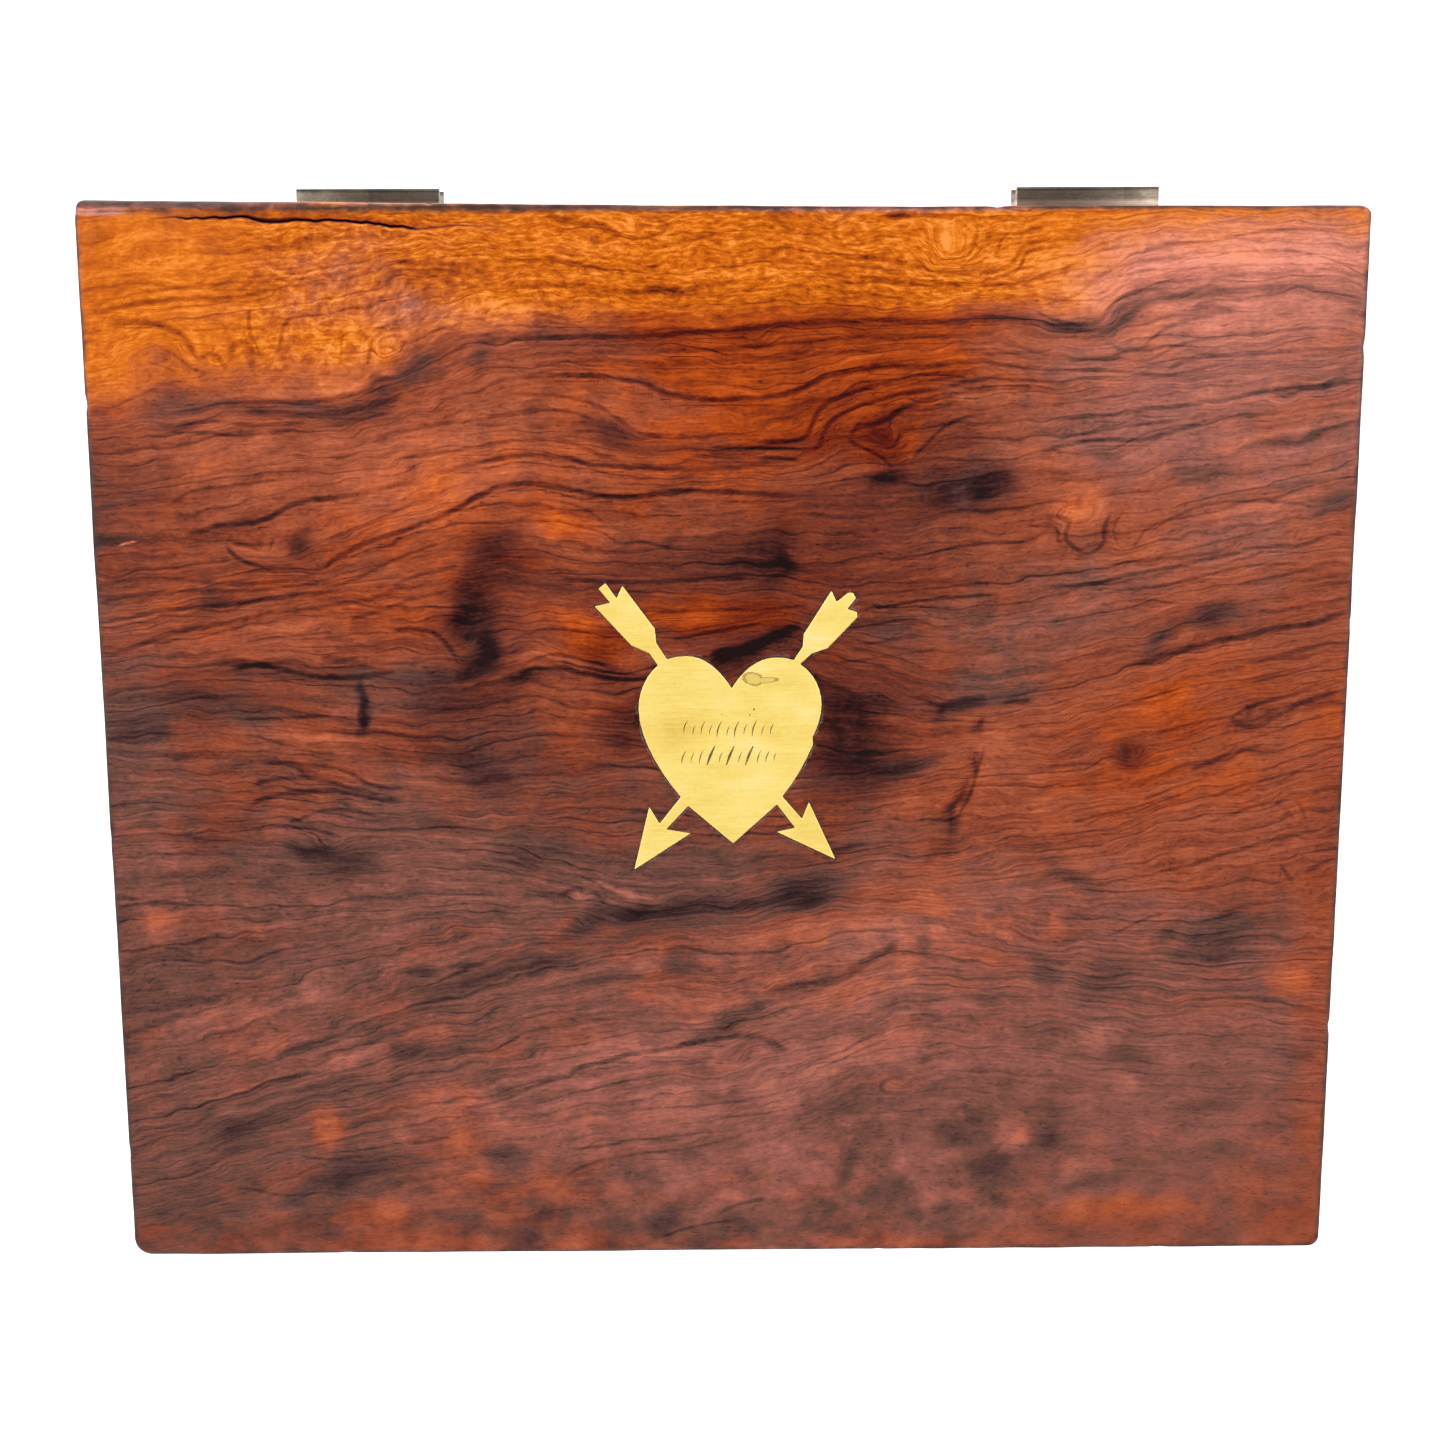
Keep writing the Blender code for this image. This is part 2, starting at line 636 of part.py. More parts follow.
def build():
    """Model the whole box."""
    clear_scene()
    figured_wood = make_material("figured_wood", (0.21, 0.055, 0.018), 0.35)
    plain_wood = make_material("plain_wood", (0.30, 0.13, 0.05), 0.6)
    pale_brass = make_material("pale_brass", (0.80, 0.62, 0.27), 0.35, 1.0)
    aged_brass = make_material("aged_brass", (0.24, 0.20, 0.15), 0.55, 1.0)
    steel = make_material("screw_steel", (0.30, 0.28, 0.26), 0.5, 1.0)

    case_walls = make_walls("case", "board", 0, RIM - HALF_GAP, figured_wood, True, True)
    make_base_board(plain_wood, case_walls)

    lid_axis = make_axis("lid_axis", AXIS)
    rail_top = TOTAL_HEIGHT - TOP_THICKNESS - JOINT_GAP
    lid_rails = make_walls("lid", "rail", RIM + HALF_GAP, rail_top, figured_wood, False, True, lid_axis)
    top_board = make_top_board(figured_wood, lid_axis)
    make_inlay(pale_brass, top_board, lid_axis)

    backs = (case_walls["back"], lid_rails["back"])
    metals = (aged_brass, steel)
    make_hinge("left_hinge", LEFT_HINGE_X, backs, metals, lid_axis)
    make_hinge("right_hinge", RIGHT_HINGE_X, backs, metals, lid_axis)


build()
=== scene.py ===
# %% [markdown]
# # A sewing box in figured wood
#
# This lesson dresses a measured model of a hinged sewing box. The model, called the frame below, holds
# each board, hinge and screw at its true size. The looks are added here: wood with a wild figure, a
# polished lid with worn edges and an old crack, a brass heart with two arrows, and tarnished hinges.
#
# Everything is in metres with Z up. The origin is the centre of the underside. The front faces -Y and
# the hinges are at +Y.

import math
from contextlib import contextmanager

import bmesh
import bpy
import numpy as np
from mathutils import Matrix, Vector, noise
from mathutils.bvhtree import BVHTree


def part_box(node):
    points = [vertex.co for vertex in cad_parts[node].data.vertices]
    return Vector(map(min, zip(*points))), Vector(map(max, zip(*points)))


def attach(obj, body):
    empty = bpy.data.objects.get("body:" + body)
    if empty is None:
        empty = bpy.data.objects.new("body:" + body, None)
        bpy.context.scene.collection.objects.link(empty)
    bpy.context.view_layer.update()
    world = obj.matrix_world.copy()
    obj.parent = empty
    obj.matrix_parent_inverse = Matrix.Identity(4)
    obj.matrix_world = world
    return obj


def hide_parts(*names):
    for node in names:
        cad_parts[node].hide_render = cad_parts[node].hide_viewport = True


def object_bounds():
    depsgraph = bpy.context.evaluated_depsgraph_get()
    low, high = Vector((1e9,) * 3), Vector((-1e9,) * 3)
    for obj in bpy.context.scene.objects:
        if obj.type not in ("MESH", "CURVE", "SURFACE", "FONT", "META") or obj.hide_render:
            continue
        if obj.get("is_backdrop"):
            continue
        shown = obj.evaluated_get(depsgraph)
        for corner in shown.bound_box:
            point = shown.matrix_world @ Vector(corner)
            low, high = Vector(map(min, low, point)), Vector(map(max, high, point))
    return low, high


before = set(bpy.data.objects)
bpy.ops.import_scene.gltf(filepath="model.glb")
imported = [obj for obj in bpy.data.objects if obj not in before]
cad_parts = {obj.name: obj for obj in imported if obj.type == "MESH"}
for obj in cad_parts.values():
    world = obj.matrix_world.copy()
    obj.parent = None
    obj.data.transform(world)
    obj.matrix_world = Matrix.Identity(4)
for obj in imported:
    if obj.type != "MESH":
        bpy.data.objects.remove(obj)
cad_low, cad_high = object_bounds()
print("frame box in mm:", [round(1000 * side, 1) for side in cad_high - cad_low])

# %% Read the sizes that the looks follow
MM = 0.001
board_low, board_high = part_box("lid_top_board")
rail_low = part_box("lid_front_rail")[0]
case_low, case_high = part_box("case_front_board")

HALF_WIDTH = board_high.x
HALF_DEPTH = -board_low.y
LID_TOP = board_high.z
TOP_THICKNESS = board_high.z - board_low.z
WALL = case_high.y - case_low.y
JOINT_GAP = rail_low.z - case_high.z
print("half width, half depth, height in mm:", [round(v / MM, 2) for v in (HALF_WIDTH, HALF_DEPTH, LID_TOP)])

# %% [markdown]
# ## The camera
#
# The box is seen from straight above, a little nearer its front than its middle. A camera fitted to the
# four corners of the lid gives the lens, the place and the small tilts below. The whole frame is square.

# %% Place the camera
SENSOR_WIDTH = 36.0
LENS = 49.827
CAMERA_PLACE = (-0.00523, 0.09262, LID_TOP + 0.47452)
CAMERA_TILTS = (-10.154, -0.548, -0.211)

bpy.ops.object.camera_add(location=CAMERA_PLACE, rotation=[math.radians(a) for a in CAMERA_TILTS])
camera = bpy.context.object
camera.name = "camera_above_the_lid"
camera.data.sensor_width = SENSOR_WIDTH
camera.data.lens = LENS
camera.data.clip_start = 0.01
bpy.context.scene.camera = camera
print("camera:", [round(v, 3) for v in camera.location], "lens", camera.data.lens)

# %% [markdown]
# ## The room
#
# The box stands on a white sheet, lit from below as on a light table, in soft light. Polished wood
# shows whatever lies in its mirror direction, and from above that is the ceiling. So the sky is dim
# overhead and bright near the horizon, and the lamps stand well to the sides. The lid then keeps its
# deep colour, and its edges still catch some light.

# %% Lay the floor
FLOOR_SIZE = 40.0
FLOOR_WHITE = 0.92
FLOOR_GLOW = 0.70

bpy.context.scene.view_settings.view_transform = "Standard"

bpy.ops.mesh.primitive_plane_add(size=FLOOR_SIZE, location=(0, 0, 0))
floor = bpy.context.object
floor.name = "white_floor"
floor_paper = bpy.data.materials.new("white paper")
floor_paper.use_nodes = True
paper_shader = floor_paper.node_tree.nodes["Principled BSDF"].inputs
paper_shader["Base Color"].default_value = (FLOOR_WHITE, FLOOR_WHITE, FLOOR_WHITE, 1)
paper_shader["Roughness"].default_value = 0.9
paper_shader["Specular IOR Level"].default_value = 0.1
paper_shader["Emission Color"].default_value = (1, 1, 1, 1)
paper_shader["Emission Strength"].default_value = FLOOR_GLOW
floor.data.materials.append(floor_paper)
floor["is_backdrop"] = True
print("floor:", FLOOR_SIZE, "metres wide")

# %% Light the sky
SKY_HORIZON = 1.05
SKY_ZENITH = 0.06
FADE_START = 0.2
FADE_END = 0.8

sky = bpy.data.worlds.new("soft studio")
sky.use_nodes = True
bpy.context.scene.world = sky
sky_nodes = sky.node_tree.nodes
sky_links = sky.node_tree.links
direction = sky_nodes.new("ShaderNodeTexCoord")
split = sky_nodes.new("ShaderNodeSeparateXYZ")
fade = sky_nodes.new("ShaderNodeMapRange")
fade.interpolation_type = "SMOOTHSTEP"
heights = {"From Min": FADE_START, "From Max": FADE_END, "To Min": SKY_HORIZON, "To Max": SKY_ZENITH}
for label, value in heights.items():
    fade.inputs[label].default_value = value
sky_links.new(direction.outputs["Generated"], split.inputs[0])
sky_links.new(split.outputs["Z"], fade.inputs["Value"])
sky_links.new(fade.outputs["Result"], sky_nodes["Background"].inputs["Strength"])
sky_nodes["Background"].inputs["Color"].default_value = (1, 1, 1, 1)
print("sky:", SKY_HORIZON, "at the horizon and", SKY_ZENITH, "overhead")

# %% Set up the lamps
def add_lamp(name, place, size, watts):
    """A soft square lamp that looks at the middle of the box."""
    aim = Vector((0, 0, LID_TOP / 2)) - Vector(place)
    bpy.ops.object.light_add(type="AREA", location=place, rotation=aim.to_track_quat("-Z", "Y").to_euler())
    lamp = bpy.context.object
    lamp.name = name
    lamp.data.size = size
    lamp.data.energy = watts


add_lamp("lamp_left", (-1.6, 0.5, 1.5), 1.0, 22)
add_lamp("lamp_right", (1.6, 0.3, 1.6), 1.0, 19)
add_lamp("lamp_back", (0.2, 1.9, 1.3), 1.0, 17)
add_lamp("lamp_front", (-0.2, -1.9, 1.2), 1.0, 14)

# %% [markdown]
# ## A shorthand for shader nodes
#
# Every finish below is a net of small nodes. Written out in full, each node takes four or five lines, and
# the idea drowns. This helper adds one node per call and gives back its output socket, so that a pattern
# reads like a sum. A value passed in may be a socket, which is joined, or a constant, which is set.

# %% Define the wiring helper
class Wiring:
    """Adds nodes to one tree, one call for each node."""

    def __init__(self, tree):
        self.tree = tree

    def add(self, kind, inputs=None, out=0, **settings):
        """Add a node with these settings and inputs, and give back one of its outputs."""
        node = self.tree.nodes.new("ShaderNode" + kind)
        for name, value in settings.items():
            setattr(node, name, value)
        self.fill(node, inputs or {})
        return node.outputs[out]

    def fill(self, node, inputs):
        """Set the inputs of a node: a socket is joined, and anything else is a constant."""
        for place, value in inputs.items():
            if isinstance(value, bpy.types.NodeSocket):
                self.join(value, node.inputs[place])
            else:
                node.inputs[place].default_value = value

    def join(self, output, target):
        """Lead an output into a socket."""
        self.tree.links.new(output, target)

    def math(self, operation, *values):
        """A sum of one, two or three numbers."""
        return self.add("Math", dict(enumerate(values)), operation=operation)

    def total(self, *values):
        """All the values added up."""
        result = values[0]
        for value in values[1:]:
            result = self.math("ADD", result, value)
        return result

    def scaled(self, value, factor, offset=0.0):
        """value * factor + offset."""
        return self.math("MULTIPLY_ADD", value, factor, offset)

    def spread(self, value, start, end, low=0.0, high=1.0):
        """Map start..end onto low..high in a soft S, held at both ends."""
        inputs = {0: value, 1: start, 2: end, 3: low, 4: high}
        return self.add("MapRange", inputs, interpolation_type="SMOOTHSTEP")

    def vector(self, x, y, z=0.0):
        """Three numbers as one vector."""
        return self.add("CombineXYZ", {0: x, 1: y, 2: z})

    def split(self, vector):
        """The x, y and z of a vector."""
        node = self.tree.nodes.new("ShaderNodeSeparateXYZ")
        self.join(vector, node.inputs[0])
        return node.outputs[:3]

    def shrink(self, place, size):
        """A place counted in steps of this size, the same in every direction."""
        return self.add("VectorMath", {0: place, 3: 1 / size}, operation="SCALE")

    def cells(self, *pairs):
        """A place in cells: each number is divided by the size of a cell in its direction."""
        parts = [self.math("DIVIDE", value, size) for value, size in pairs]
        return self.vector(*parts)

    def noise(self, place, detail=2.0, roughness=0.5):
        """Noise about 0, in most places within -0.5..0.5. It has one bump for each unit of its place."""
        inputs = {"Vector": place, "Scale": 1.0, "Detail": detail, "Roughness": roughness}
        return self.math("SUBTRACT", self.add("TexNoise", inputs), 0.5)

    def bump(self, height, strength, distance):
        """Tilt the normal by a height. A height of 1 stands for this distance, in metres."""
        return self.add("Bump", {"Height": height, "Strength": strength, "Distance": distance})

    def mix(self, factor, first, second):
        """Blend two colours."""
        return self.add("Mix", {0: factor, 6: first, 7: second}, out=2, data_type="RGBA")

    def ramp(self, value, stops):
        """Turn a number into a colour through a row of (value, colour) stops."""
        node = self.tree.nodes.new("ShaderNodeValToRGB")
        elements = node.color_ramp.elements
        elements.remove(elements[1])
        elements[0].position = stops[0][0]
        elements[0].color = (*stops[0][1], 1)
        for position, colour in stops[1:]:
            elements.new(position).color = (*colour, 1)
        self.join(value, node.inputs[0])
        return node.outputs[0]


print("wiring helper:", len([name for name in vars(Wiring) if not name.startswith("_")]), "kinds of calls")

# %% Define how node groups and materials are started
def new_group(name, inputs, outputs):
    """A node group with named inputs and outputs. Gives its wiring, its inputs and its outputs."""
    tree = bpy.data.node_groups.new(name, "ShaderNodeTree")
    for label, kind, value in inputs:
        socket = tree.interface.new_socket(label, in_out="INPUT", socket_type="NodeSocket" + kind)
        if value is not None:
            socket.default_value = value
    for label, kind in outputs:
        tree.interface.new_socket(label, in_out="OUTPUT", socket_type="NodeSocket" + kind)
    entry = tree.nodes.new("NodeGroupInput")
    leave = tree.nodes.new("NodeGroupOutput")
    return Wiring(tree), entry.outputs, leave.inputs


def place_group(wiring, group_name, inputs):
    """Place a node group in a material. Gives back all of its output sockets."""
    node = wiring.tree.nodes.new("ShaderNodeGroup")
    node.node_tree = bpy.data.node_groups[group_name]
    wiring.fill(node, inputs)
    return node.outputs


def new_material(name):
    """An empty Principled material. Gives the material, its wiring and its shader's inputs."""
    material = bpy.data.materials.new(name)
    material.use_nodes = True
    shader = material.node_tree.nodes["Principled BSDF"]
    return material, Wiring(material.node_tree), shader.inputs


# %% [markdown]
# ## The figure of the wood
#
# Rosewood grows in rings of light and dark, and a board cut nearly along the rings shows them as long
# wandering lines. Ink-dark clouds, small knots and a strip of yellow sapwood break them up. All the
# figured boards share one group. It is told how far across the grain a point lies, and how dark and how
# warm the wood is there, and it draws the ring lines, the fibres, the pores and the mottle.
#
# The colours come last. The sum of all these is a tone from dark to light, and four ramps turn it into
# cold, red, warm and sapwood colours. The cold colours hold a painted milky sheen as well as the wood's
# own cool brown.

# %% Name the colours of the wood
# Paler, greyer colours: the cool wood with a painted milky sheen in it
COLD_WOOD_AND_SHEEN = (
    (0.10, (0.014, 0.004, 0.004)), (0.205, (0.045, 0.017, 0.016)), (0.258, (0.083, 0.032, 0.027)),
    (0.300, (0.113, 0.047, 0.034)), (0.336, (0.158, 0.057, 0.040)), (0.373, (0.206, 0.069, 0.050)),
    (0.403, (0.247, 0.081, 0.060)), (0.459, (0.337, 0.107, 0.078)), (0.505, (0.425, 0.134, 0.090)),
    (0.60, (0.62, 0.195, 0.13)), (0.70, (0.83, 0.29, 0.20)),
)
RED_WOOD = (
    (0.08, (0.010, 0.002, 0.002)), (0.146, (0.036, 0.006, 0.005)), (0.224, (0.090, 0.018, 0.011)),
    (0.287, (0.160, 0.031, 0.015)), (0.340, (0.234, 0.047, 0.019)), (0.430, (0.360, 0.083, 0.036)),
    (0.533, (0.550, 0.133, 0.054)), (0.66, (0.74, 0.25, 0.12)),
)
WARM_WOOD = (
    (0.08, (0.006, 0.0005, 0.0002)), (0.138, (0.043, 0.001, 0.0005)), (0.194, (0.090, 0.005, 0.001)),
    (0.243, (0.144, 0.013, 0.001)), (0.318, (0.243, 0.030, 0.002)), (0.418, (0.434, 0.063, 0.004)),
    (0.470, (0.528, 0.088, 0.010)), (0.60, (0.72, 0.175, 0.025)),
)
SAPWOOD = (
    (0.15, (0.049, 0.003, 0.0003)), (0.25, (0.157, 0.017, 0.0003)), (0.317, (0.254, 0.034, 0.0003)),
    (0.386, (0.355, 0.060, 0.0004)), (0.446, (0.450, 0.084, 0.0005)), (0.529, (0.612, 0.131, 0.002)),
    (0.609, (0.79, 0.212, 0.014)), (0.68, (0.87, 0.29, 0.055)),
)
print("stops of the ramps:", [len(ramp) for ramp in (COLD_WOOD_AND_SHEEN, RED_WOOD, WARM_WOOD, SAPWOOD)])

# %% Build the figure group, first its lines
wiring, given, result = new_group(
    "Wood figure",
    (
        ("Place", "Vector", None), ("Across", "Float", 0.0), ("Tone", "Float", 0.0),
        ("Warmth", "Float", 0.0), ("Sapwood", "Float", 0.0), ("Drawn lines", "Float", 0.0),
    ),
    (("Colour", "Color"), ("Relief", "Float"), ("Tone", "Float")),
)
along, over, deep = wiring.split(given["Place"])

# The rings show as lines towards the back of the board and melt into mottle towards the front
ringed = wiring.spread(given["Across"], -20.0, 60.0)

# Small bends of the grain, in millimetres, smaller where there are no rings
bend = wiring.noise(wiring.cells((along, 20), (over, 8), (deep, 9)), 2.0, 0.5)
grain = wiring.math("MULTIPLY_ADD", bend, wiring.scaled(ringed, 2.4, 0.6), given["Across"])

# Long streaks that run with the rings, and finer hairs
streak = wiring.noise(wiring.cells((along, 48), (grain, 2.0)), 3.0, 0.72)
leaning = wiring.total(wiring.scaled(given["Across"], 0.35), wiring.scaled(over, 0.65))
hair = wiring.noise(wiring.cells((along, 6), (leaning, 0.6), (deep, 3)), 3.0, 0.65)

# Dark ring lines: thin where a wave turns back, unevenly spaced, fading in and out along their length
uneven = wiring.noise(wiring.cells((along, 160), (grain, 13)), 2.0)
ring_fade = wiring.spread(wiring.noise(wiring.cells((along, 42), (grain, 5)), 2.0), -0.24, 0.14)
ring_wave = wiring.math("MULTIPLY_ADD", uneven, 6.0, wiring.math("DIVIDE", grain, 3.4))
ring_line = wiring.spread(wiring.math("PINGPONG", ring_wave, 0.5), 0.12, 0.0)
ring_line = wiring.math("MULTIPLY", ring_line, ring_fade)
print("figure group:", len(wiring.tree.nodes), "nodes for the rings")

# %% Add the curls, the pores, the mottle and the clouds
# Short curls and pores
curl = wiring.noise(wiring.cells((along, 2.6), (grain, 1.1), (deep, 2)), 3.0, 0.62)
pore = wiring.spread(wiring.noise(wiring.cells((along, 1.3), (grain, 0.3), (deep, 0.8)), 0.0), 0.14, 0.3)
speck = wiring.noise(wiring.cells((along, 1.3), (over, 0.8), (deep, 1)), 2.0, 0.7)

# Mottle: soft patches from a few millimetres to a few centimetres, rounder where there are no rings
mottle = wiring.noise(wiring.cells((along, 7.5), (grain, 5), (deep, 5)), 6.0, 0.68)
blotch = wiring.noise(wiring.cells((along, 10.5), (over, 7.5), (deep, 20)), 4.0, 0.6)
warm_patch = wiring.noise(wiring.cells((along, 24), (grain, 11), (deep, 20)), 2.0, 0.55)

# A dark cloud is ragged, because the dark soaks along the fibres. A pale one is smoother
ragged = wiring.total(1.0, wiring.scaled(mottle, 2.7), wiring.scaled(blotch, 1.4), wiring.scaled(curl, 1.3))
dark_cloud = wiring.math("MULTIPLY", wiring.math("MINIMUM", given["Tone"], 0.0), ragged)
soft = wiring.scaled(mottle, 1.2, 1.0)
pale_cloud = wiring.math("MULTIPLY", wiring.math("MAXIMUM", given["Tone"], 0.0), soft)
print("figure group:", len(wiring.tree.nodes), "nodes with the clouds")

# %% Add everything up and colour it
BASE_TONE = 0.369
SAPWOOD_LIFT = 0.166

# The sapwood is curly in its middle, the rings fade into round blotches, and the right end is calmer
curly = wiring.math("MULTIPLY", given["Sapwood"], wiring.spread(along, -122.0, -100.0, 0.25, 1.0))
curly = wiring.math("MULTIPLY", curly, wiring.spread(along, 55.0, 90.0, 1.0, 0.3))
round_share = wiring.scaled(ringed, -0.86, 1.0)
chatter = wiring.total(wiring.scaled(curly, 0.55, 0.06), wiring.scaled(ringed, 0.07))
calm = wiring.spread(along, 50.0, 105.0, 1.0, 0.52)
lines = wiring.total(wiring.scaled(streak, 0.34), wiring.scaled(ring_line, -0.11))
mottled = wiring.total(
    wiring.math("MULTIPLY", mottle, wiring.scaled(ringed, 0.09, 0.19)),
    wiring.math("MULTIPLY", wiring.scaled(blotch, 0.58), round_share),
)
tone = wiring.total(
    dark_cloud, pale_cloud,
    wiring.scaled(given["Sapwood"], SAPWOOD_LIFT, BASE_TONE),
    wiring.math("MULTIPLY", lines, ringed),
    wiring.math("MULTIPLY", hair, wiring.scaled(ringed, 0.175, 0.055)),
    wiring.math("MULTIPLY", curl, chatter),
    wiring.scaled(pore, -0.06),
    wiring.math("MULTIPLY", speck, wiring.scaled(ringed, 0.05, 0.08)),
    wiring.math("MULTIPLY", mottled, calm),
    wiring.scaled(given["Drawn lines"], -1.0),
)
warmth = wiring.total(
    given["Warmth"], wiring.scaled(warm_patch, 1.4), wiring.scaled(mottle, 1.0), wiring.scaled(blotch, 0.8)
)
red = wiring.ramp(tone, RED_WOOD)
warmer = wiring.mix(wiring.spread(warmth, 0.0, 1.0), red, wiring.ramp(tone, WARM_WOOD))
colder = wiring.mix(wiring.spread(warmth, 0.0, -1.0), warmer, wiring.ramp(tone, COLD_WOOD_AND_SHEEN))
sap_share = wiring.math("MULTIPLY", given["Sapwood"], wiring.spread(warmth, -1.4, 0.1))
coloured = wiring.mix(sap_share, colder, wiring.ramp(tone, SAPWOOD))
wiring.join(coloured, result["Colour"])
relief = wiring.total(wiring.scaled(pore, -1.0), wiring.scaled(hair, 0.5), wiring.scaled(ring_line, -0.6))
wiring.join(relief, result["Relief"])
wiring.join(tone, result["Tone"])
print("figure group:", len(wiring.tree.nodes), "nodes")

# %% [markdown]
# ## The drawn figure of the lid
#
# The lid has its own figure, and it is what one knows the box by. It is drawn the way a grainer would
# paint it. First come the long ring lines, each a row of a few points. The height of a point between two
# of them says how far across the grain it lies, so every finer line follows them. Knots and eyes push the
# lines aside. All places are in millimetres from the middle of the lid.

# %% Draw the ring lines and the eyes
# Each line: how far across the grain it lies, then its points
RING_LINES = (
    (-132, (
        (-160, -134), (-100, -129), (-50, -127), (0, -123), (50, -119), (100, -118), (160, -121),
    )),
    (-108, (
        (-160, -127), (-120, -117), (-100, -111), (-75, -107), (-50, -106), (-25, -101), (0, -97),
        (20, -90), (35, -84), (60, -84), (90, -88), (160, -91),
    )),
    (-85, (
        (-160, -109), (-130, -100), (-110, -94), (-70, -86), (-50, -81.5), (-30, -77), (0, -76),
        (20, -69), (45, -62), (70, -61), (100, -65), (160, -68),
    )),
    (-58, (
        (-160, -87), (-130, -78), (-110, -71), (-90, -64), (-70, -57.5), (-50, -51), (-30, -48.5),
        (10, -45), (30, -42), (50, -42), (80, -47), (120, -50), (160, -48),
    )),
    (-32, (
        (-160, -29), (-120, -27), (-60, -28), (-45, -31), (-35, -35), (-20, -38.5), (0, -37.5),
        (15, -34), (50, -30), (90, -24), (130, -16), (160, -9),
    )),
    (-3, (
        (-160, -1), (-130, -2), (-112, -1), (-100, -4), (-80, -8), (-60, -9), (-20, -4), (20, -6),
        (60, -1), (80, -1), (100, 4), (120, 9), (160, 17),
    )),
    (20, (
        (-160, 17), (-130, 20), (-110, 21), (-95, 19), (-75, 18.5), (-60, 20), (-43, 24), (-25, 19.5),
        (-5, 22), (15, 29), (30, 22), (50, 14), (65, 13), (85, 18), (100, 22), (120, 28), (160, 34),
    )),
    (42, (
        (-160, 31), (-135, 34), (-105, 39), (-90, 40), (-70, 43), (-40, 42), (10, 40), (30, 38),
        (50, 40), (80, 42), (100, 44), (120, 48.5), (160, 55),
    )),
    (64, (
        (-160, 45), (-115, 47), (-100, 50), (-85, 55), (-70, 60.5), (-60, 64), (-48, 65.5), (-30, 62.5),
        (0, 63.5), (20, 65), (60, 70.5), (90, 74.5), (120, 80.5), (160, 84),
    )),
    (76, (
        (-160, 61), (-130, 63.5), (-100, 68.5), (-70, 73), (-50, 76.5), (-35, 76), (-22, 73.5),
        (10, 74.5), (18, 76), (23, 80), (30, 84), (45, 87), (80, 87), (110, 89), (160, 94),
    )),
    (87, (
        (-160, 73), (-110, 77.5), (-90, 79), (-70, 84), (-55, 88.5), (-40, 90.5), (-28, 90),
        (-15, 86.5), (5, 85), (20, 89), (35, 92), (60, 95), (90, 93), (110, 95), (135, 99), (160, 98),
    )),
    (100, (
        (-160, 79), (-135, 82), (-115, 84.5), (-100, 83.5), (-85, 86), (-70, 93), (-60, 98),
        (-48, 100.5), (0, 101), (40, 103), (60, 104), (70, 103), (78, 100.5), (85, 100), (90, 102.5),
        (95, 107), (103, 109.5), (130, 111), (142, 110.5), (160, 105),
    )),
    (115, (
        (-160, 103), (-140, 107), (-110, 110.3), (-90, 113), (-70, 116), (-50, 117), (-15, 114.5),
        (5, 116.5), (25, 116), (45, 114), (60, 113), (70, 115.5), (80, 118), (95, 121), (120, 122.5),
        (160, 120),
    )),
    (130, (
        (-160, 127), (0, 129), (160, 130),
    )),
)
# Where a knot or an eye lifts the lines: x, y, reach and lift
EYES = (
    (-111, 49, 7, 2.5), (-101, 50, 5, 2), (-117, 94, 5, 4), (-113, 95.5, 3, 3), (99, -1, 6, 4),
    (127, 8, 4, 3), (37, 76, 7, 4), (84, 56, 7, 5), (-97, -22, 7, 4), (-36, -36, 4, 3),
    (54, 119, 10, 5), (118, 72, 7, 3), (-20, 123, 5, 2), (-78, 96, 5, 3), (43, -84, 5, 3),
    (-90, 58, 3, 0), (-134, 96, 12, -4), (-68, 28, 9, 3),
)
print("rings:", len(RING_LINES), "lines and", len(EYES), "eyes")
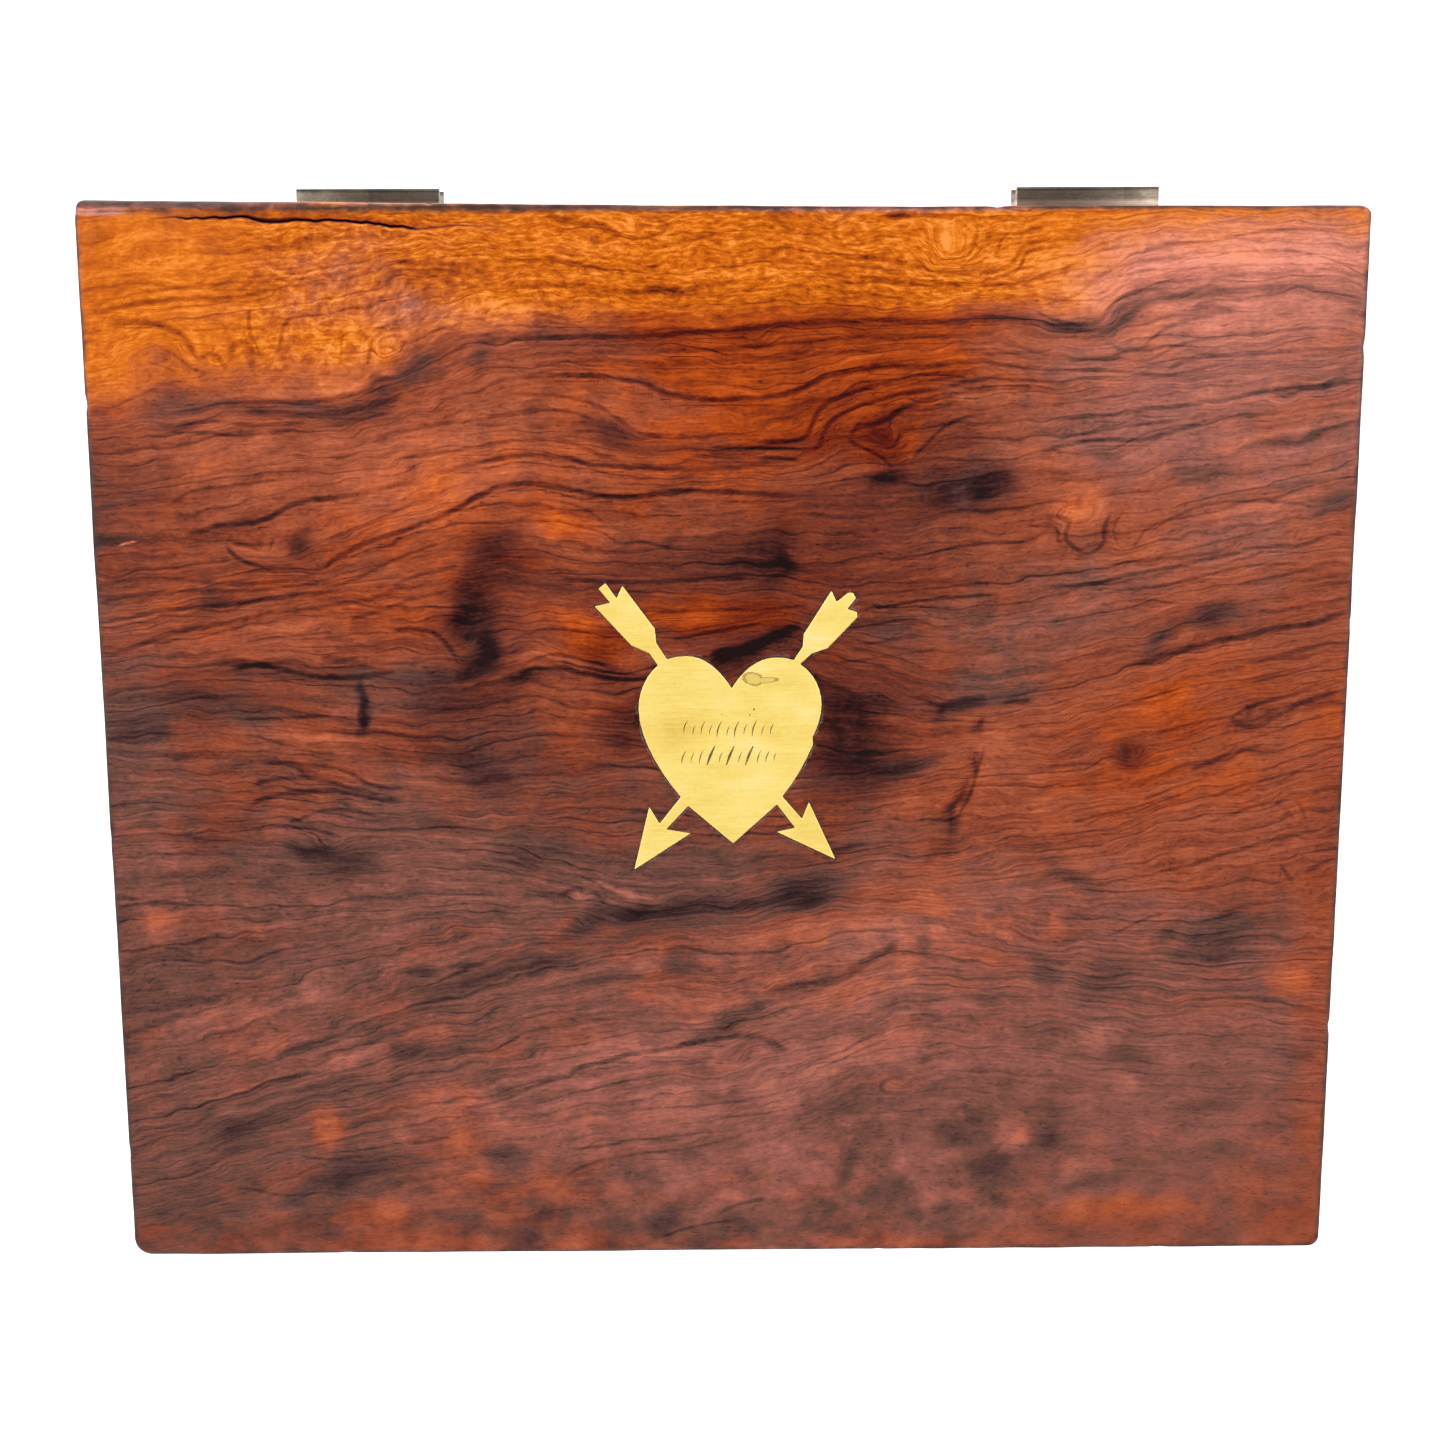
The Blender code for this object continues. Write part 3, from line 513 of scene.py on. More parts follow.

# %% [markdown]
# ## Clouds in the wood
#
# Dark and pale clouds lie over the rings, from broad shadows to spots of a few millimetres. Each is one
# soft oval that darkens or lightens the wood, and warms or cools it. They are added up, so their order
# makes no difference.

# %% Lay the clouds
# Soft ovals: x, y, turn in degrees, reach along, reach across, then the change of tone and of warmth,
# both in hundredths
# The broad clouds that cool the front half of the lid lay the painted milky sheen of the cold colours over it
CLOUDS = (
    (-90, 52, 8, 62, 34, 0, 30), (-135, -108, 0, 34, 30, -1, -45), (141, 107, 0, 13, 14, 3.5, -20),
    (-138, 92, 0, 22, 30, 3, 20), (110, 112, 0, 40, 16, 1, -20), (0, -28, 0, 150, 24, 0, -20),
    (-80, -98, 0, 100, 34, 0, 20), (52, -112, 0, 26, 14, 0, -50), (130, 112, 0, 30, 14, 7, -35),
    (-82, 106, 0, 28, 7, 2, -35), (-52, 106, 5, 12, 5, 6, -10), (-65, 60, 8, 28, 18, 3.5, 0),
    (-68, 8, 0, 24, 13, -3, 0), (104, 6, 10, 18, 11, -3, 0), (38, -48, 10, 22, 14, 3.5, 0),
    (52, 105, 0, 9, 5, 5, 0), (15, 92, 0, 60, 22, 0, 40), (120, 80, 0, 55, 30, 0, -20),
    (15, 104, 0, 45, 9, 0, 60), (-138, 8, 0, 16, 24, -4, 0), (-130, 46, 5, 24, 10, -3.5, 0),
    (66, -106, 0, 26, 9, -6, 0), (-145, 95, 0, 12, 24, 0, 50), (-142, -122, 0, 18, 11, -3, 0),
    (4, -121, 0, 15, 7, -3, 0), (88, 92, 0, 22, 8, 3, 0), (-84, 90, 0, 10, 7, 3, 0),
    (60, 66, 0, 24, 12, -3, 0), (14, 60, 0, 14, 8, -3.5, 0), (68, 114, 0, 30, 11, 2.5, 0),
    (112, 121, 0, 26, 6, 3, 0), (-22, -75, 0, 12, 6, 3, 0), (2, 22.5, 28, 9, 5, -12, 0),
    (-60, 40, 70, 9, 4, -4, 0), (118, 85, 5, 75, 38, 10, -80), (-60, 75, 5, 80, 28, 3.5, 0),
    (20, 85, 0, 55, 22, 0.5, 50), (-110, 5, 0, 70, 30, -3.5, -10), (110, 0, 10, 60, 30, 3, 55),
    (0, -90, 5, 80, 40, 3, -60), (110, -85, 0, 80, 55, 1.5, -80), (-110, -80, 10, 80, 55, -1, -55),
    (70, 35, 5, 70, 22, -1.5, -35), (20, 30, 0, 60, 35, -7.5, 20), (-60, 45, 0, 60, 30, -1, 10),
    (-140, 66, 0, 22, 16, -7, -40), (10, -25, 0, 60, 22, -3.5, 0), (-30, -10, 0, 50, 25, -4, -30),
    (-10, -75, 0, 190, 78, 0, -55), (-100, -38, 0, 75, 30, 0, -40), (-149, 0, 90, 160, 7, -3, -35),
    (-142, 45, 0, 12, 8, -4, 0), (-128, 15, 0, 16, 10, -5, 0), (140, 84, 0, 20, 12, -3, 20),
    (147, -60, 90, 80, 8, 0, 50), (-24, 45, 0, 14, 9, -5, 0), (-68, 14, 0, 10, 8, -4, 0),
    (12, -47, 0, 24, 8, 4, 0), (-2, -90, 0, 22, 9, 3.5, 0), (112, 104, 0, 16, 7, 5, 0),
    (-142, 112, 0, 12, 16, -5, 30), (10, 120, 0, 40, 7, -5, 80), (15, 106, 0, 50, 9, 0, 130),
    (20, 90, 0, 40, 8, -2, 100), (-92, 110, 0, 28, 14, 0, -25), (143, 116, 0, 14, 16, 0, -70),
    (-122, -104, 0, 44, 32, -2.5, -20), (-38, 4, 0, 9, 10, 5, 70), (30, -6, 20, 13, 14, -7, -20),
    (40, 14, 0, 16, 8, -5, 0), (0, 34, 0, 26, 6, 3, 90), (-30, 27, 0, 14, 6, 4, 90),
    (66, 15, 0, 26, 8, 0, -90), (-84, -14, 0, 16, 12, 0, -80), (-14, -30, 0, 24, 9, -2, -90),
    (0, -121, 0, 80, 8, -2, -50), (-82, 15, 0, 16, 10, 0, -50), (-55, 105, 0, 26, 9, 5, 0),
    (-95, 92, 4, 50, 10, 3, 0), (-112, 60, 0, 16, 9, 4, 0), (40, 74, 0, 36, 10, -4, 20),
    (38, 60, 0, 30, 8, -3, 0), (0, 31, 0, 24, 9, -6, 0), (84, 58, 0, 7, 5, 12, 30),
    (84, 104, 0, 8, 5, 8, 0), (-137, 112, 0, 16, 12, 3, 40), (-120, 5, 0, 50, 22, 0, -35),
    (20, 98, 2, 48, 12, -1, 90), (-10, 68, 3, 50, 16, 0, 35), (112, 118, 3, 46, 14, 6, -80),
    (115, 103, 0, 48, 11, 9, -10), (-90, 91, 8, 34, 9, 5, 0), (-65, 72, 6, 34, 13, 6, 10),
    (-122, 76, 5, 34, 13, 4, 0), (32, 77, 0, 42, 11, -8.5, 0), (-75, 61, 8, 24, 9, 5, 10),
    (45, 61, 0, 40, 9, -6, 0), (5, 47, 0, 38, 11, -5, 0), (116, 45, 5, 46, 12, 4.5, -30),
    (-104, 30, 4, 28, 9, 6, 0), (-57, 30, 0, 14, 15, -8, -20), (66, 30, 4, 42, 9, 5, -40),
    (-60, 12, 0, 20, 10, -7, -30), (-24, 11, 0, 14, 15, -10, 30), (-105, 3, 0, 22, 8, 5, 0),
    (-48, -2, 0, 22, 10, -5, -20), (28, 5, 0, 16, 15, -11, 0), (82, 1, 0, 10, 8, -5, 0),
    (-126, -16, 0, 20, 9, -5, -20), (66, -31, 3, 42, 9, 6, -10), (48, -46, 0, 30, 10, 7, 0),
    (32, -61, 4, 42, 9, 5.5, 0), (-26, -76, 6, 24, 9, 5, 0), (38, -77, 3, 46, 9, 4.5, 0),
    (-40, -90, 4, 55, 9, 3.5, 0), (-30, -122, 0, 110, 7, -3, 0), (95, -45, 0, 40, 10, 2, -20),
    (-70, -30, 0, 40, 12, 0, -50), (-142, 0, 90, 60, 14, 2, -50), (-130, 83.5, 12, 15, 6, -8, -50),
    (-100, 82, 0, 32, 3.4, -10, -50), (-74, 91, 38, 16, 6, -17, -60), (-56, 95, 75, 7, 3.4, -10, -50),
    (-20, 99.5, 1, 45, 2.4, -6, 0), (30, 102, 2, 45, 1.5, -8, 0), (70, 102.5, -12, 13, 2.2, -11, -30),
    (82, 99.7, -4, 10, 2, -9, -50), (93, 103, 48, 8, 3, -10, -80), (114, 109, 4, 22, 2.6, -4, -100),
    (138, 109, -6, 18, 2.8, -3, -100), (-70, 104, 0, 9, 8, -10, -40), (-76, 114.5, 0, 10, 3.5, -7, -20),
    (-42, 104.5, 0, 8, 5, -7, 0), (-128, 125.5, 0, 7, 1.8, -8, 0), (27, 114, 10, 7, 3, -7, 0),
    (41, 126, 0, 4.5, 1.2, -24, 0), (11, 125.5, 0, 5, 2, -8, 0), (-18, 109.3, 0, 5, 0.8, -22, 0),
    (-25, 123.2, -30, 4, 1, -10, 0), (-20, 123, 0, 6, 1.6, 5, 0), (-140, 118, 0, 20, 8, 2, 0),
    (-60, 112, 0, 50, 9, -4, 0), (20, 107, 0, 55, 5, -6, 0), (0, 120, 0, 50, 9, 3, 0),
    (60, 119, 0, 20, 9, 2, 0), (-90, 95, 0, 30, 6, -3, 0), (85, 108, -20, 9, 5, 5, 0),
    (-113, 57.5, 12, 11, 2.8, -9, -40), (-101.5, 50.5, 0, 6, 4.2, -19, -20),
    (-112, 49, 0, 7.5, 1.7, 6, 0), (-145, 52, 4, 13, 2.6, -12, -50), (-123, 38, 80, 7, 3.5, -8, -50),
    (-27, 76.5, -22, 12, 4.6, -15, -40), (-6, 73.5, -3, 18, 2, -9, -20), (-45, 78.5, 80, 6, 4, -5, -30),
    (-125, 69, 0, 11, 4, 5, 20), (-101, 62, 5, 9, 4, 3, 10), (-38, 54.5, -20, 11, 5, 10, 80),
    (-72, 36, 8, 15, 6, 3, 10), (-138, 35, 8, 11, 4.5, 5, 40), (10, 79, 0, 16, 3.6, 7, 60),
    (28, 95, 5, 13, 2.4, 7, 80), (30, 82, 45, 9, 3, 6, 60), (-12, 92, 0, 22, 3, 4, 60),
    (35.5, 75, -8, 7.5, 3.6, -5, 80), (38, 67, 30, 7, 3, -15, 0), (58, 64, -4, 18, 6.5, -13, -50),
    (62, 66, 0, 9, 3.6, -6, 0), (57, 63.5, -5, 9, 2.5, -8, 0), (44.5, 75, 80, 5, 3, 6, 20),
    (112, 66.5, 3, 8, 2.6, -7, -30), (90, 72.5, 0, 8, 3, -5, -20), (147, 60, 12, 10, 4.5, -11, -40),
    (118, 72.5, 0, 6, 3, 5, 40), (84, 60, 85, 8, 5, 6, 30), (80.5, 53, -65, 4.5, 1.3, -8, 0),
    (90.5, 53, 65, 4.5, 1.3, -7, 0), (98, 47, 8, 14, 3, 4, 40), (140, 70, 20, 9, 3, 4, 40),
    (125, 58, 5, 14, 3, 5, 0), (-52, 48, -25, 15, 7, -10, -10), (-57, 42, 72, 21, 10, -9, -10),
    (-60, 33, 80, 17, 6, -10, -10), (-58, 25, 60, 8, 4, -10, -20), (-66, 19.6, 8, 15, 2.4, -17, -20),
    (-88, 19.6, 0, 18, 1.9, -8, -20), (-110, 21.3, -6, 14, 2.4, -7, -30), (-42, 41, 0, 14, 3.5, -7, -20),
    (-49, 18.8, 15, 8, 2.4, -14, -20), (-29, 25.5, -10, 6, 4, -13, 0), (-25, 21.5, -15, 6, 1.8, -10, 0),
    (-87, 9.5, 70, 6, 2.6, -17, -40), (-87, 16, 90, 5, 1.3, -8, -30), (-62, -3.5, -30, 14, 7, -10, -30),
    (-142, 6.5, -10, 9, 5, -9, -50), (-118, 14, -10, 24, 6, -4, -20), (-27, 3.5, 0, 5, 3, -8, 0),
    (-38, 33, -10, 11, 4, 8, 50), (-44, 25, 20, 7, 2.4, 5, 40), (-8, 33, 5, 11, 4, 10, 80),
    (-32, 12, 0, 7, 3, 7, 50), (-98, 5.5, -12, 13, 4, 6, 50), (10, 47, 60, 12, 8, -7, -20),
    (12.5, 46, 68, 9, 4.2, -11, 0), (0, 47.5, 0, 18, 6, -6, -20), (29, 51, 0, 7, 2.6, -9, -20),
    (-12.5, 52, 60, 3.2, 1.6, -10, 0), (4, 25.2, 22, 13, 2.2, -18, 0), (14.5, 29.5, 20, 6, 2.8, -12, -20),
    (28, 11, -60, 13, 7, -8, -20), (33, -3.5, 0, 18, 8, -7, -20), (41.5, -3, 12, 10, 2.8, -13, -30),
    (57, 11.5, 12, 11, 2.2, -14, -40), (71, 13.5, 12, 11, 2.2, -8, -40), (52, 8, 60, 4, 1.6, -8, -20),
    (103.5, 27, 32, 9, 2.6, -15, -40), (116, 33, 20, 8, 4.5, -14, -50), (61, 6.5, 80, 3.4, 1.1, -12, 0),
    (48, 33, 0, 6, 2, 4, -30), (98, -1, 10, 7, 4.6, -22, -10), (100, -1, 10, 2.2, 1.3, 10, 0),
    (127, 8, 15, 6, 3.2, -13, -30), (127.6, 8.2, 0, 1.4, 1.1, 14, -30), (65, 1, 60, 9, 6, 6, 0),
    (43, -14, 0, 9, 5, 6, 20), (106, 13, 10, 18, 6, 5, 50), (56, -15, 65, 7.5, 1.7, -20, -20),
    (60, -4, 72, 7, 1, -14, 0), (51, -25, 45, 6, 3, -9, 0), (77, -27, -25, 13, 4, -7, -20),
    (84, -33, -30, 6.5, 3.4, -11, -30), (-101, -22.5, -10, 7, 3.2, -16, -50),
    (-92, -26, -8, 11, 5.5, -15, -80), (-118, -29, 0, 18, 11, -4, -20), (-48, -24, 20, 15, 6, -6, -40),
    (-20, -39.6, 3, 18, 2.9, -21, -100), (-37, -43.5, 30, 8, 2.2, -12, -30),
    (1, -37.8, 3, 15, 1.6, -15, -60), (-15, -43, 10, 24, 5, -7, -20), (20, -35, 8, 15, 7, -10, -50),
    (20, -36.5, 4, 9, 3.6, -12, -50), (-27, -34, -28, 9, 1.4, 10, 0), (-36, -36, -40, 4, 2.6, 5, 0),
    (2, -32, 0, 12, 3, 6, 30), (-138, -41, 0, 6.5, 3.8, 9, 50), (-20, -53, 0, 5.5, 3, 7, 0),
    (-100, -95, 80, 8, 5, 10, 90), (-66, -100, 80, 15, 9, 3, 40), (-70, -86, 10, 15, 4, 5, 20),
    (-85, -117, 0, 9, 4.5, 5, 50), (-48, -52.5, 16, 17, 3.2, -12, -50), (-67, -59, 28, 14, 3.4, -9, -40),
    (-76, -55.5, 5, 7, 2, -8, -30), (-78, -75, 5, 8, 2.3, -14, -40), (-64, -72, 20, 13, 2.4, -7, -30),
    (-108, -75, 20, 16, 2, -10, -30), (-122, -94, 15, 10, 3.6, -10, -30),
    (-104, -86.5, 23, 21, 3.4, -6, -10), (-98, -108.5, 22, 16, 3.6, -13, -40),
    (-82, -104, 10, 13, 4.5, -6, -30), (-56, -104, 80, 8, 6.5, -6, -50), (-140, -56, 0, 15, 8, -7, -40),
    (-118, -51, 10, 18, 6, -6, -30), (-134, -63, 15, 15, 3, -4, -20), (-30, -56, 10, 15, 3.4, -7, -40),
    (-11, -53, 30, 8, 4.4, -9, -40), (3.5, -66, 28, 9, 3.8, -13, -50), (-5, -71.5, 15, 10, 1.6, -7, -20),
    (24, -57.8, 12, 17, 1.9, -8, -20), (48, -48, 80, 7, 2.6, -9, -30), (-112, -64.5, 22, 17, 2.2, 6, 10),
    (-95, -76.5, 20, 15, 2.2, 10, 10), (-113, -74, 22, 11, 2.6, 9, 10), (-125, -65.5, 15, 13, 2.6, 7, 10),
    (-102, -60, 10, 6, 3.4, 8, 20), (-122, -89, 18, 10, 2.4, 6, 10), (-74, -70, 15, 9, 2, 7, 10),
    (-110, -72, 20, 8, 1.7, 5, 10), (20, -44.5, 8, 20, 4.4, 5, 30), (44.5, -57.5, 0, 4.4, 2.4, 8, 20),
    (28, -76, 35, 22, 4.4, 4, 10), (-5, -62, 12, 14, 4, 3, 10), (122, -45, 15, 14, 9, -12, -40),
    (108, -45.5, 60, 4.6, 2.8, -9, -20), (118, -51.5, 0, 16, 3, -5, -20), (78, -54, -60, 7, 4.4, -9, -30),
    (94, -57, 20, 10, 7, -9, -30), (102, -77, -10, 9, 3.4, -9, -30), (120, -90.5, 10, 10, 2.6, -8, -20),
    (122, -101, 0, 10, 2, -4, -10), (28, -90, 10, 8, 4.4, -11, -30), (29, -107, 75, 7, 3.6, -11, -40),
    (54, -97.5, -10, 12, 3.6, -11, -40), (79, -98, 70, 6, 4.6, -13, -40), (40, -114, 10, 11, 5, -9, -40),
    (92, -111, 10, 10, 2.6, -9, -30), (140, -58, 0, 7.5, 5, 9, 90), (92.5, -72.6, 0, 6, 4.4, 10, 30),
    (99, -85, 0, 4.6, 4.6, 11, 40), (72, -97.5, 0, 5, 4.6, 10, 30), (87, -107, 0, 4.6, 3.8, 11, 30),
    (80, -42, 80, 3.6, 2, 6, 20), (100, -118, 2, 22, 4, 6, 100), (52, -38, 0, 10, 4, 4, 30),
    (60, -88, 0, 16, 12, -3, -30), (147, -20, 90, 20, 6, -5, -30),
)
print("clouds:", len(CLOUDS))

# %% [markdown]
# ## Single dark lines
#
# The darkest lines of the rings, the curls round the eyes and the small cracks are too sharp for clouds.
# Each is drawn by itself, as a row of points with a width and a depth. One line is paler than the wood: a
# small scratch on the left.

# %% Draw the dark lines
# Half width, depth of tone in hundredths, then x and y of one point after another
DARK_LINES = (
    (0.5, 13, -148, 104.3, -140, 106.2, -134, 107.3, -127, 108, -120, 108.1, -115, 107.9, -110, 109,
     -104, 110.2),
    (0.35, 8, -148, 106.2, -140, 108.6, -132, 109.8, -125, 110.9, -117, 111.4, -108, 111.8, -98, 112.2,
     -90, 113.6, -82, 115.6),
    (0.75, 14, -144, 102.6, -137, 103, -132, 102.6, -128.5, 101, -125.8, 99.3, -124.6, 97.2, -124.2, 95.2),
    (0.35, 9, -132, 97, -129, 95.8, -126, 93.4, -123.4, 91.6, -121, 91.2),
    (0.3, 7, -134.5, 93.6, -131, 92.6, -128, 91.2),
    (0.45, 11, -124, 95.4, -122.4, 93.8, -121, 95.2, -119.4, 95.6, -118, 94.8, -117.2, 93.2, -116, 91.6),
    (0.6, 13, -115.2, 94.2, -115.2, 96, -114.2, 97.6, -112.4, 98.1, -110.8, 97.2, -109.8, 95.4,
     -110, 93.6, -111.4, 92.2),
    (0.4, 10, -110.3, 105.6, -110.8, 102, -110.4, 99.2, -108.8, 97, -108.2, 94.4),
    (0.4, 10, -93, 104.4, -98, 104.2, -101.4, 103.4, -102.9, 101.6, -103.2, 99, -103.8, 96.6, -105, 95),
    (0.3, 8, -87, 100.6, -89.4, 99.6, -89.4, 96.6, -89.8, 93.6),
    (0.4, 10, -79.8, 100.2, -81.8, 99, -82.9, 96.8, -83, 94.6, -83.6, 92.4),
    (0.45, 10, -109, 91.6, -106, 91.4, -103.6, 91.6, -101.6, 92),
    (0.4, 9, -76, 116, -70, 116, -64, 115.7, -58, 115.2),
    (0.35, 8, -68, 114.8, -63, 114, -58, 112.8, -54, 112),
    (0.7, 13, -41.5, 127.4, -38.4, 125.6, -35, 124.8, -31, 124.8, -28.4, 124, -26.2, 122.6, -24, 121.5),
    (0.35, 10, -25, 121.8, -20.5, 121.3, -16.4, 121.9, -13.6, 123, -12.9, 124.2, -14.2, 125.2, -17.5, 126),
    (0.4, 9, -52, 116.3, -46, 116.5, -40, 116.2, -34, 115.4, -28, 114.5, -21, 114.3, -14, 115),
    (0.55, 13, -51, 110.2, -45, 110.7, -38, 110.8, -33.6, 110.9, -29, 109.9, -25, 109.4, -17, 109.2,
     -11, 109.6, -5, 110.4, 2, 111.4),
    (0.4, 10, -13, 120, -9.6, 121, -6, 121.2, -2, 122.2),
    (0.35, 8, 16, 115, 22, 113.6, 28, 112.8, 34, 112.4, 40, 111.4, 47, 110.7),
    (0.45, 12, 30, 117.3, 36, 116.4, 41, 115.6, 46, 114.3, 51, 113.3, 57, 113.3, 63, 113.9, 66, 114.5,
     67.3, 116.2, 68, 118.3, 69.6, 119.8, 73, 120.2, 78, 121, 84, 121.6),
    (0.35, 10, 57, 120.4, 59.6, 118.3, 62.6, 117.6, 63.6, 118.8, 63.8, 121, 65.2, 122.2, 68.5, 122.2,
     71, 123.2, 75, 124),
    (0.35, 11, 58, 111.6, 63.4, 112.3, 67, 113.2, 68.6, 114.8, 69.3, 117, 70.8, 118.5, 74.2, 118.8,
     78, 119.2),
    (0.35, 9, 38, 113.4, 43, 112.3, 48, 111.2, 54, 110.9, 60, 111, 66, 110.4, 70, 110.6, 72, 112.4,
     75, 113.2, 79, 114.2, 83, 116.2, 87, 118.4, 92, 119.1, 99, 119.6),
    (0.3, 7, 58.2, 124, 58.4, 121.2, 57.2, 119.2, 54.8, 118.2),
    (0.35, 8, 70, 109, 73.5, 107.6, 78, 107, 81.6, 107.8, 84, 110.2, 87, 112.6, 91, 114.6, 97, 116,
     105, 116.4, 112, 116.8),
    (0.3, 7, 20, 107.4, 27, 107.2, 34, 108.6, 39, 107.8, 45, 106.2, 52, 105.4, 60, 105.2),
    (0.3, 8, 99, 119.6, 106, 119.9, 113, 120.5, 120, 121.8, 127, 122.7, 135, 123.1, 142, 122.6,
     149, 123.6),
    (0.3, 7, 90, 122.4, 99, 123.4, 109, 123.8, 117, 124.7, 122, 126),
    (0.3, 8, 112, 116.8, 118, 117.9, 126, 118.2, 133, 118, 139, 116.6, 144, 114.8, 149, 114),
    (0.3, 7, 89.5, 111, 93, 112.9, 98, 113.8, 106, 113.9, 115, 114.4, 125, 115, 133, 115, 141, 113.6,
     149, 112),
    (0.35, 8, 93, 109.3, 97, 110.6, 103, 111, 111, 111.6, 118, 112.6, 127, 113, 135, 112.4, 142, 111.6,
     149, 110),
    (0.55, 12, -60, 97.8, -54, 98.4, -48, 98.9, -41, 98.8, -32, 99, -22, 99, -12, 99.6, -4, 100.2,
     4, 100.8, 11, 101.4, 18, 102.2, 25, 102.7, 31, 102.4, 37, 102.8, 44, 102.1, 52, 102.2, 57, 102.7,
     63, 103.1, 69, 102.6, 74, 101.6),
    (0.5, 10, -49, 94.6, -40, 95, -30, 95.3, -20, 95.5, -10, 95.7, 0, 96, 8, 96.8, 15, 97.4, 22, 98.2,
     31, 98.7, 41, 98.8, 52, 98.8, 62, 99.2),
    (0.6, 9, -46, 92.9, -38, 93.4, -28, 93.8, -20, 93, -10, 93, 0, 93.3, 8, 93.5, 15, 94, 22, 95.2,
     30, 95.6, 40, 95.6),
    (0.55, 15, -51, 89.8, -44, 90.3, -36, 90.3, -29, 90, -24, 89.2, -19, 88.2, -15, 86.5, -11, 85.1,
     -5, 84.6, 0, 84.4, 6, 84.9, 12, 85.2, 16, 86.2, 20, 88, 24, 90.1, 30, 91.1, 37, 92, 45, 91.8,
     53, 92.4, 61, 92.6),
    (0.45, 9, -49, 86.1, -43, 85.7, -37, 85.2, -33, 84.5, -29.4, 82.8, -26, 80.6, -23, 78.4, -19.6, 76.6,
     -14, 75.8),
    (0.4, 9, -57, 80.6, -51, 81.1, -46, 82, -40, 82.4, -35, 81.6, -31, 79.8),
    (0.45, 11, -79, 70.8, -72, 71.9, -65, 72.7, -58, 73.6, -51, 75, -45, 75.7, -39, 75.4, -34.5, 74,
     -30, 71.8, -25, 71),
    (0.5, 13, -72, 66.6, -66, 68.2, -60, 69.6, -54, 70.8, -48, 71.8, -41, 71.9, -36, 70.9, -32, 69.2,
     -25, 69, -15, 68.6, -5, 68.2, 4, 68.6, 12, 69.2),
    (0.4, 9, -78, 77, -71, 78.2, -65, 79.4, -59, 79.9),
    (0.4, 10, -4, 73.6, 5, 73.4, 13, 73, 19, 72.8, 22.4, 73.6),
    (0.4, 9, -8, 71.3, 2, 71.2, 10, 70.9, 17, 70.6),
    (0.5, 13, 2, 75.2, 10, 74.7, 16.6, 74.8, 19.4, 76, 20.2, 78.2, 21.2, 81, 23.4, 83.6, 27, 85, 32, 86.7,
     38, 88.4, 45, 90, 53, 90.4, 61, 91),
    (0.5, 13, 20.6, 72.8, 22.4, 74.4, 23, 76.8, 24.6, 79.6, 28, 81.8, 33, 83.4, 38, 85, 44, 86.2,
     50, 86.6, 55, 88.2, 62, 89, 70, 88.6, 80, 88.4),
    (0.55, 11, 29, 75, 29.8, 77, 31.8, 78.5, 35, 78.7, 38, 79.8, 41, 82.2, 46, 83.9, 52, 85.3, 59, 86.6,
     66, 86.9, 74, 86.7, 82, 86.4),
    (0.4, 10, 29.2, 75, 31, 73.6, 34.4, 72.2, 37.4, 70.6, 39, 68.6),
    (0.4, 10, 44, 70.8, 46.6, 73.4, 49, 75.8, 52, 78.6, 56, 80.1, 61, 80.8),
    (0.8, 10, 74, 101.6, 78, 100.6, 82, 100, 86, 100, 90, 100.8, 93, 102.6, 95.4, 104.8, 99, 106.4,
     104, 107.4, 111, 108.1, 118, 109, 126, 109.8, 133, 109.8, 139, 109, 144, 107.5, 149, 106),
    (0.4, 11, 72, 104.4, 76, 102.8, 80, 101.6, 84.4, 101.3, 87.4, 102, 89, 104, 90.4, 106.3, 93, 108.3,
     98, 109.4, 104, 109.8),
    (0.4, 9, 90, 96.8, 93.6, 95.2, 97, 95.6, 99.6, 98, 102.4, 100.6, 107, 102.3, 114, 103.4),
    (0.4, 9, 76, 93.6, 85, 93.3, 92, 93.5, 98, 92.8, 102, 94.5, 106, 96.9, 112, 98, 120, 98.7, 130, 99.8,
     138, 100.8, 149, 99.6),
    (0.5, 9, 103, 90.6, 107, 92.9, 112, 94.3, 120, 94.2, 130, 95, 140, 95.5, 149, 96),
    (0.4, 10, 62, 92.6, 70, 91.4, 80, 91, 90, 90.8, 96, 90.4, 101, 89.5, 107, 90, 113, 91.8, 120, 92.4),
    (0.45, 12, 74, 79.4, 84, 80, 92, 80.7, 99, 82, 107, 82.5, 114, 83.6, 122, 85, 130, 86.5, 140, 87,
     149, 88.4),
    (0.5, 12, 74, 72, 80, 73.8, 86, 74.8, 92, 74.8, 99, 74.6, 103, 76, 110, 78, 116, 79.8, 123, 80.4,
     131, 81),
    (0.35, 8, 78, 75, 85, 76.4, 92, 77.5, 99, 78.6, 106, 79.2),
    (0.35, 8, 60, 94.6, 68, 95.1, 76, 94.9),
    (0.5, 9, -121, 84, -113, 84.9, -106, 84.5, -100, 84, -94, 84.6, -88, 85.8, -82, 86.9, -78, 88),
    (0.7, 10, -113, 82.4, -106, 81.8, -99, 81.3, -92, 81.6, -86, 82.6, -80, 84.2, -75, 86),
    (0.4, 9, -132, 78.6, -125, 79.5, -118, 80.1, -112, 78.8, -105, 79, -98, 79.6),
    (0.4, 9, -138, 76, -130, 77, -122, 77.5, -115, 76.3, -108, 77, -100, 78),
    (0.55, 14, -128, 53.4, -124, 54.2, -120, 55.7, -113, 56.1, -109, 56.6, -106.4, 58.2, -103.6, 59.8,
     -100, 61.3, -90.5, 62.1, -84.3, 63.2, -78, 64.8, -73, 65.8),
    (0.35, 9, -131, 60.6, -128, 62.6, -124.6, 64.2, -119, 64.6, -111, 65.4, -103, 66.6),
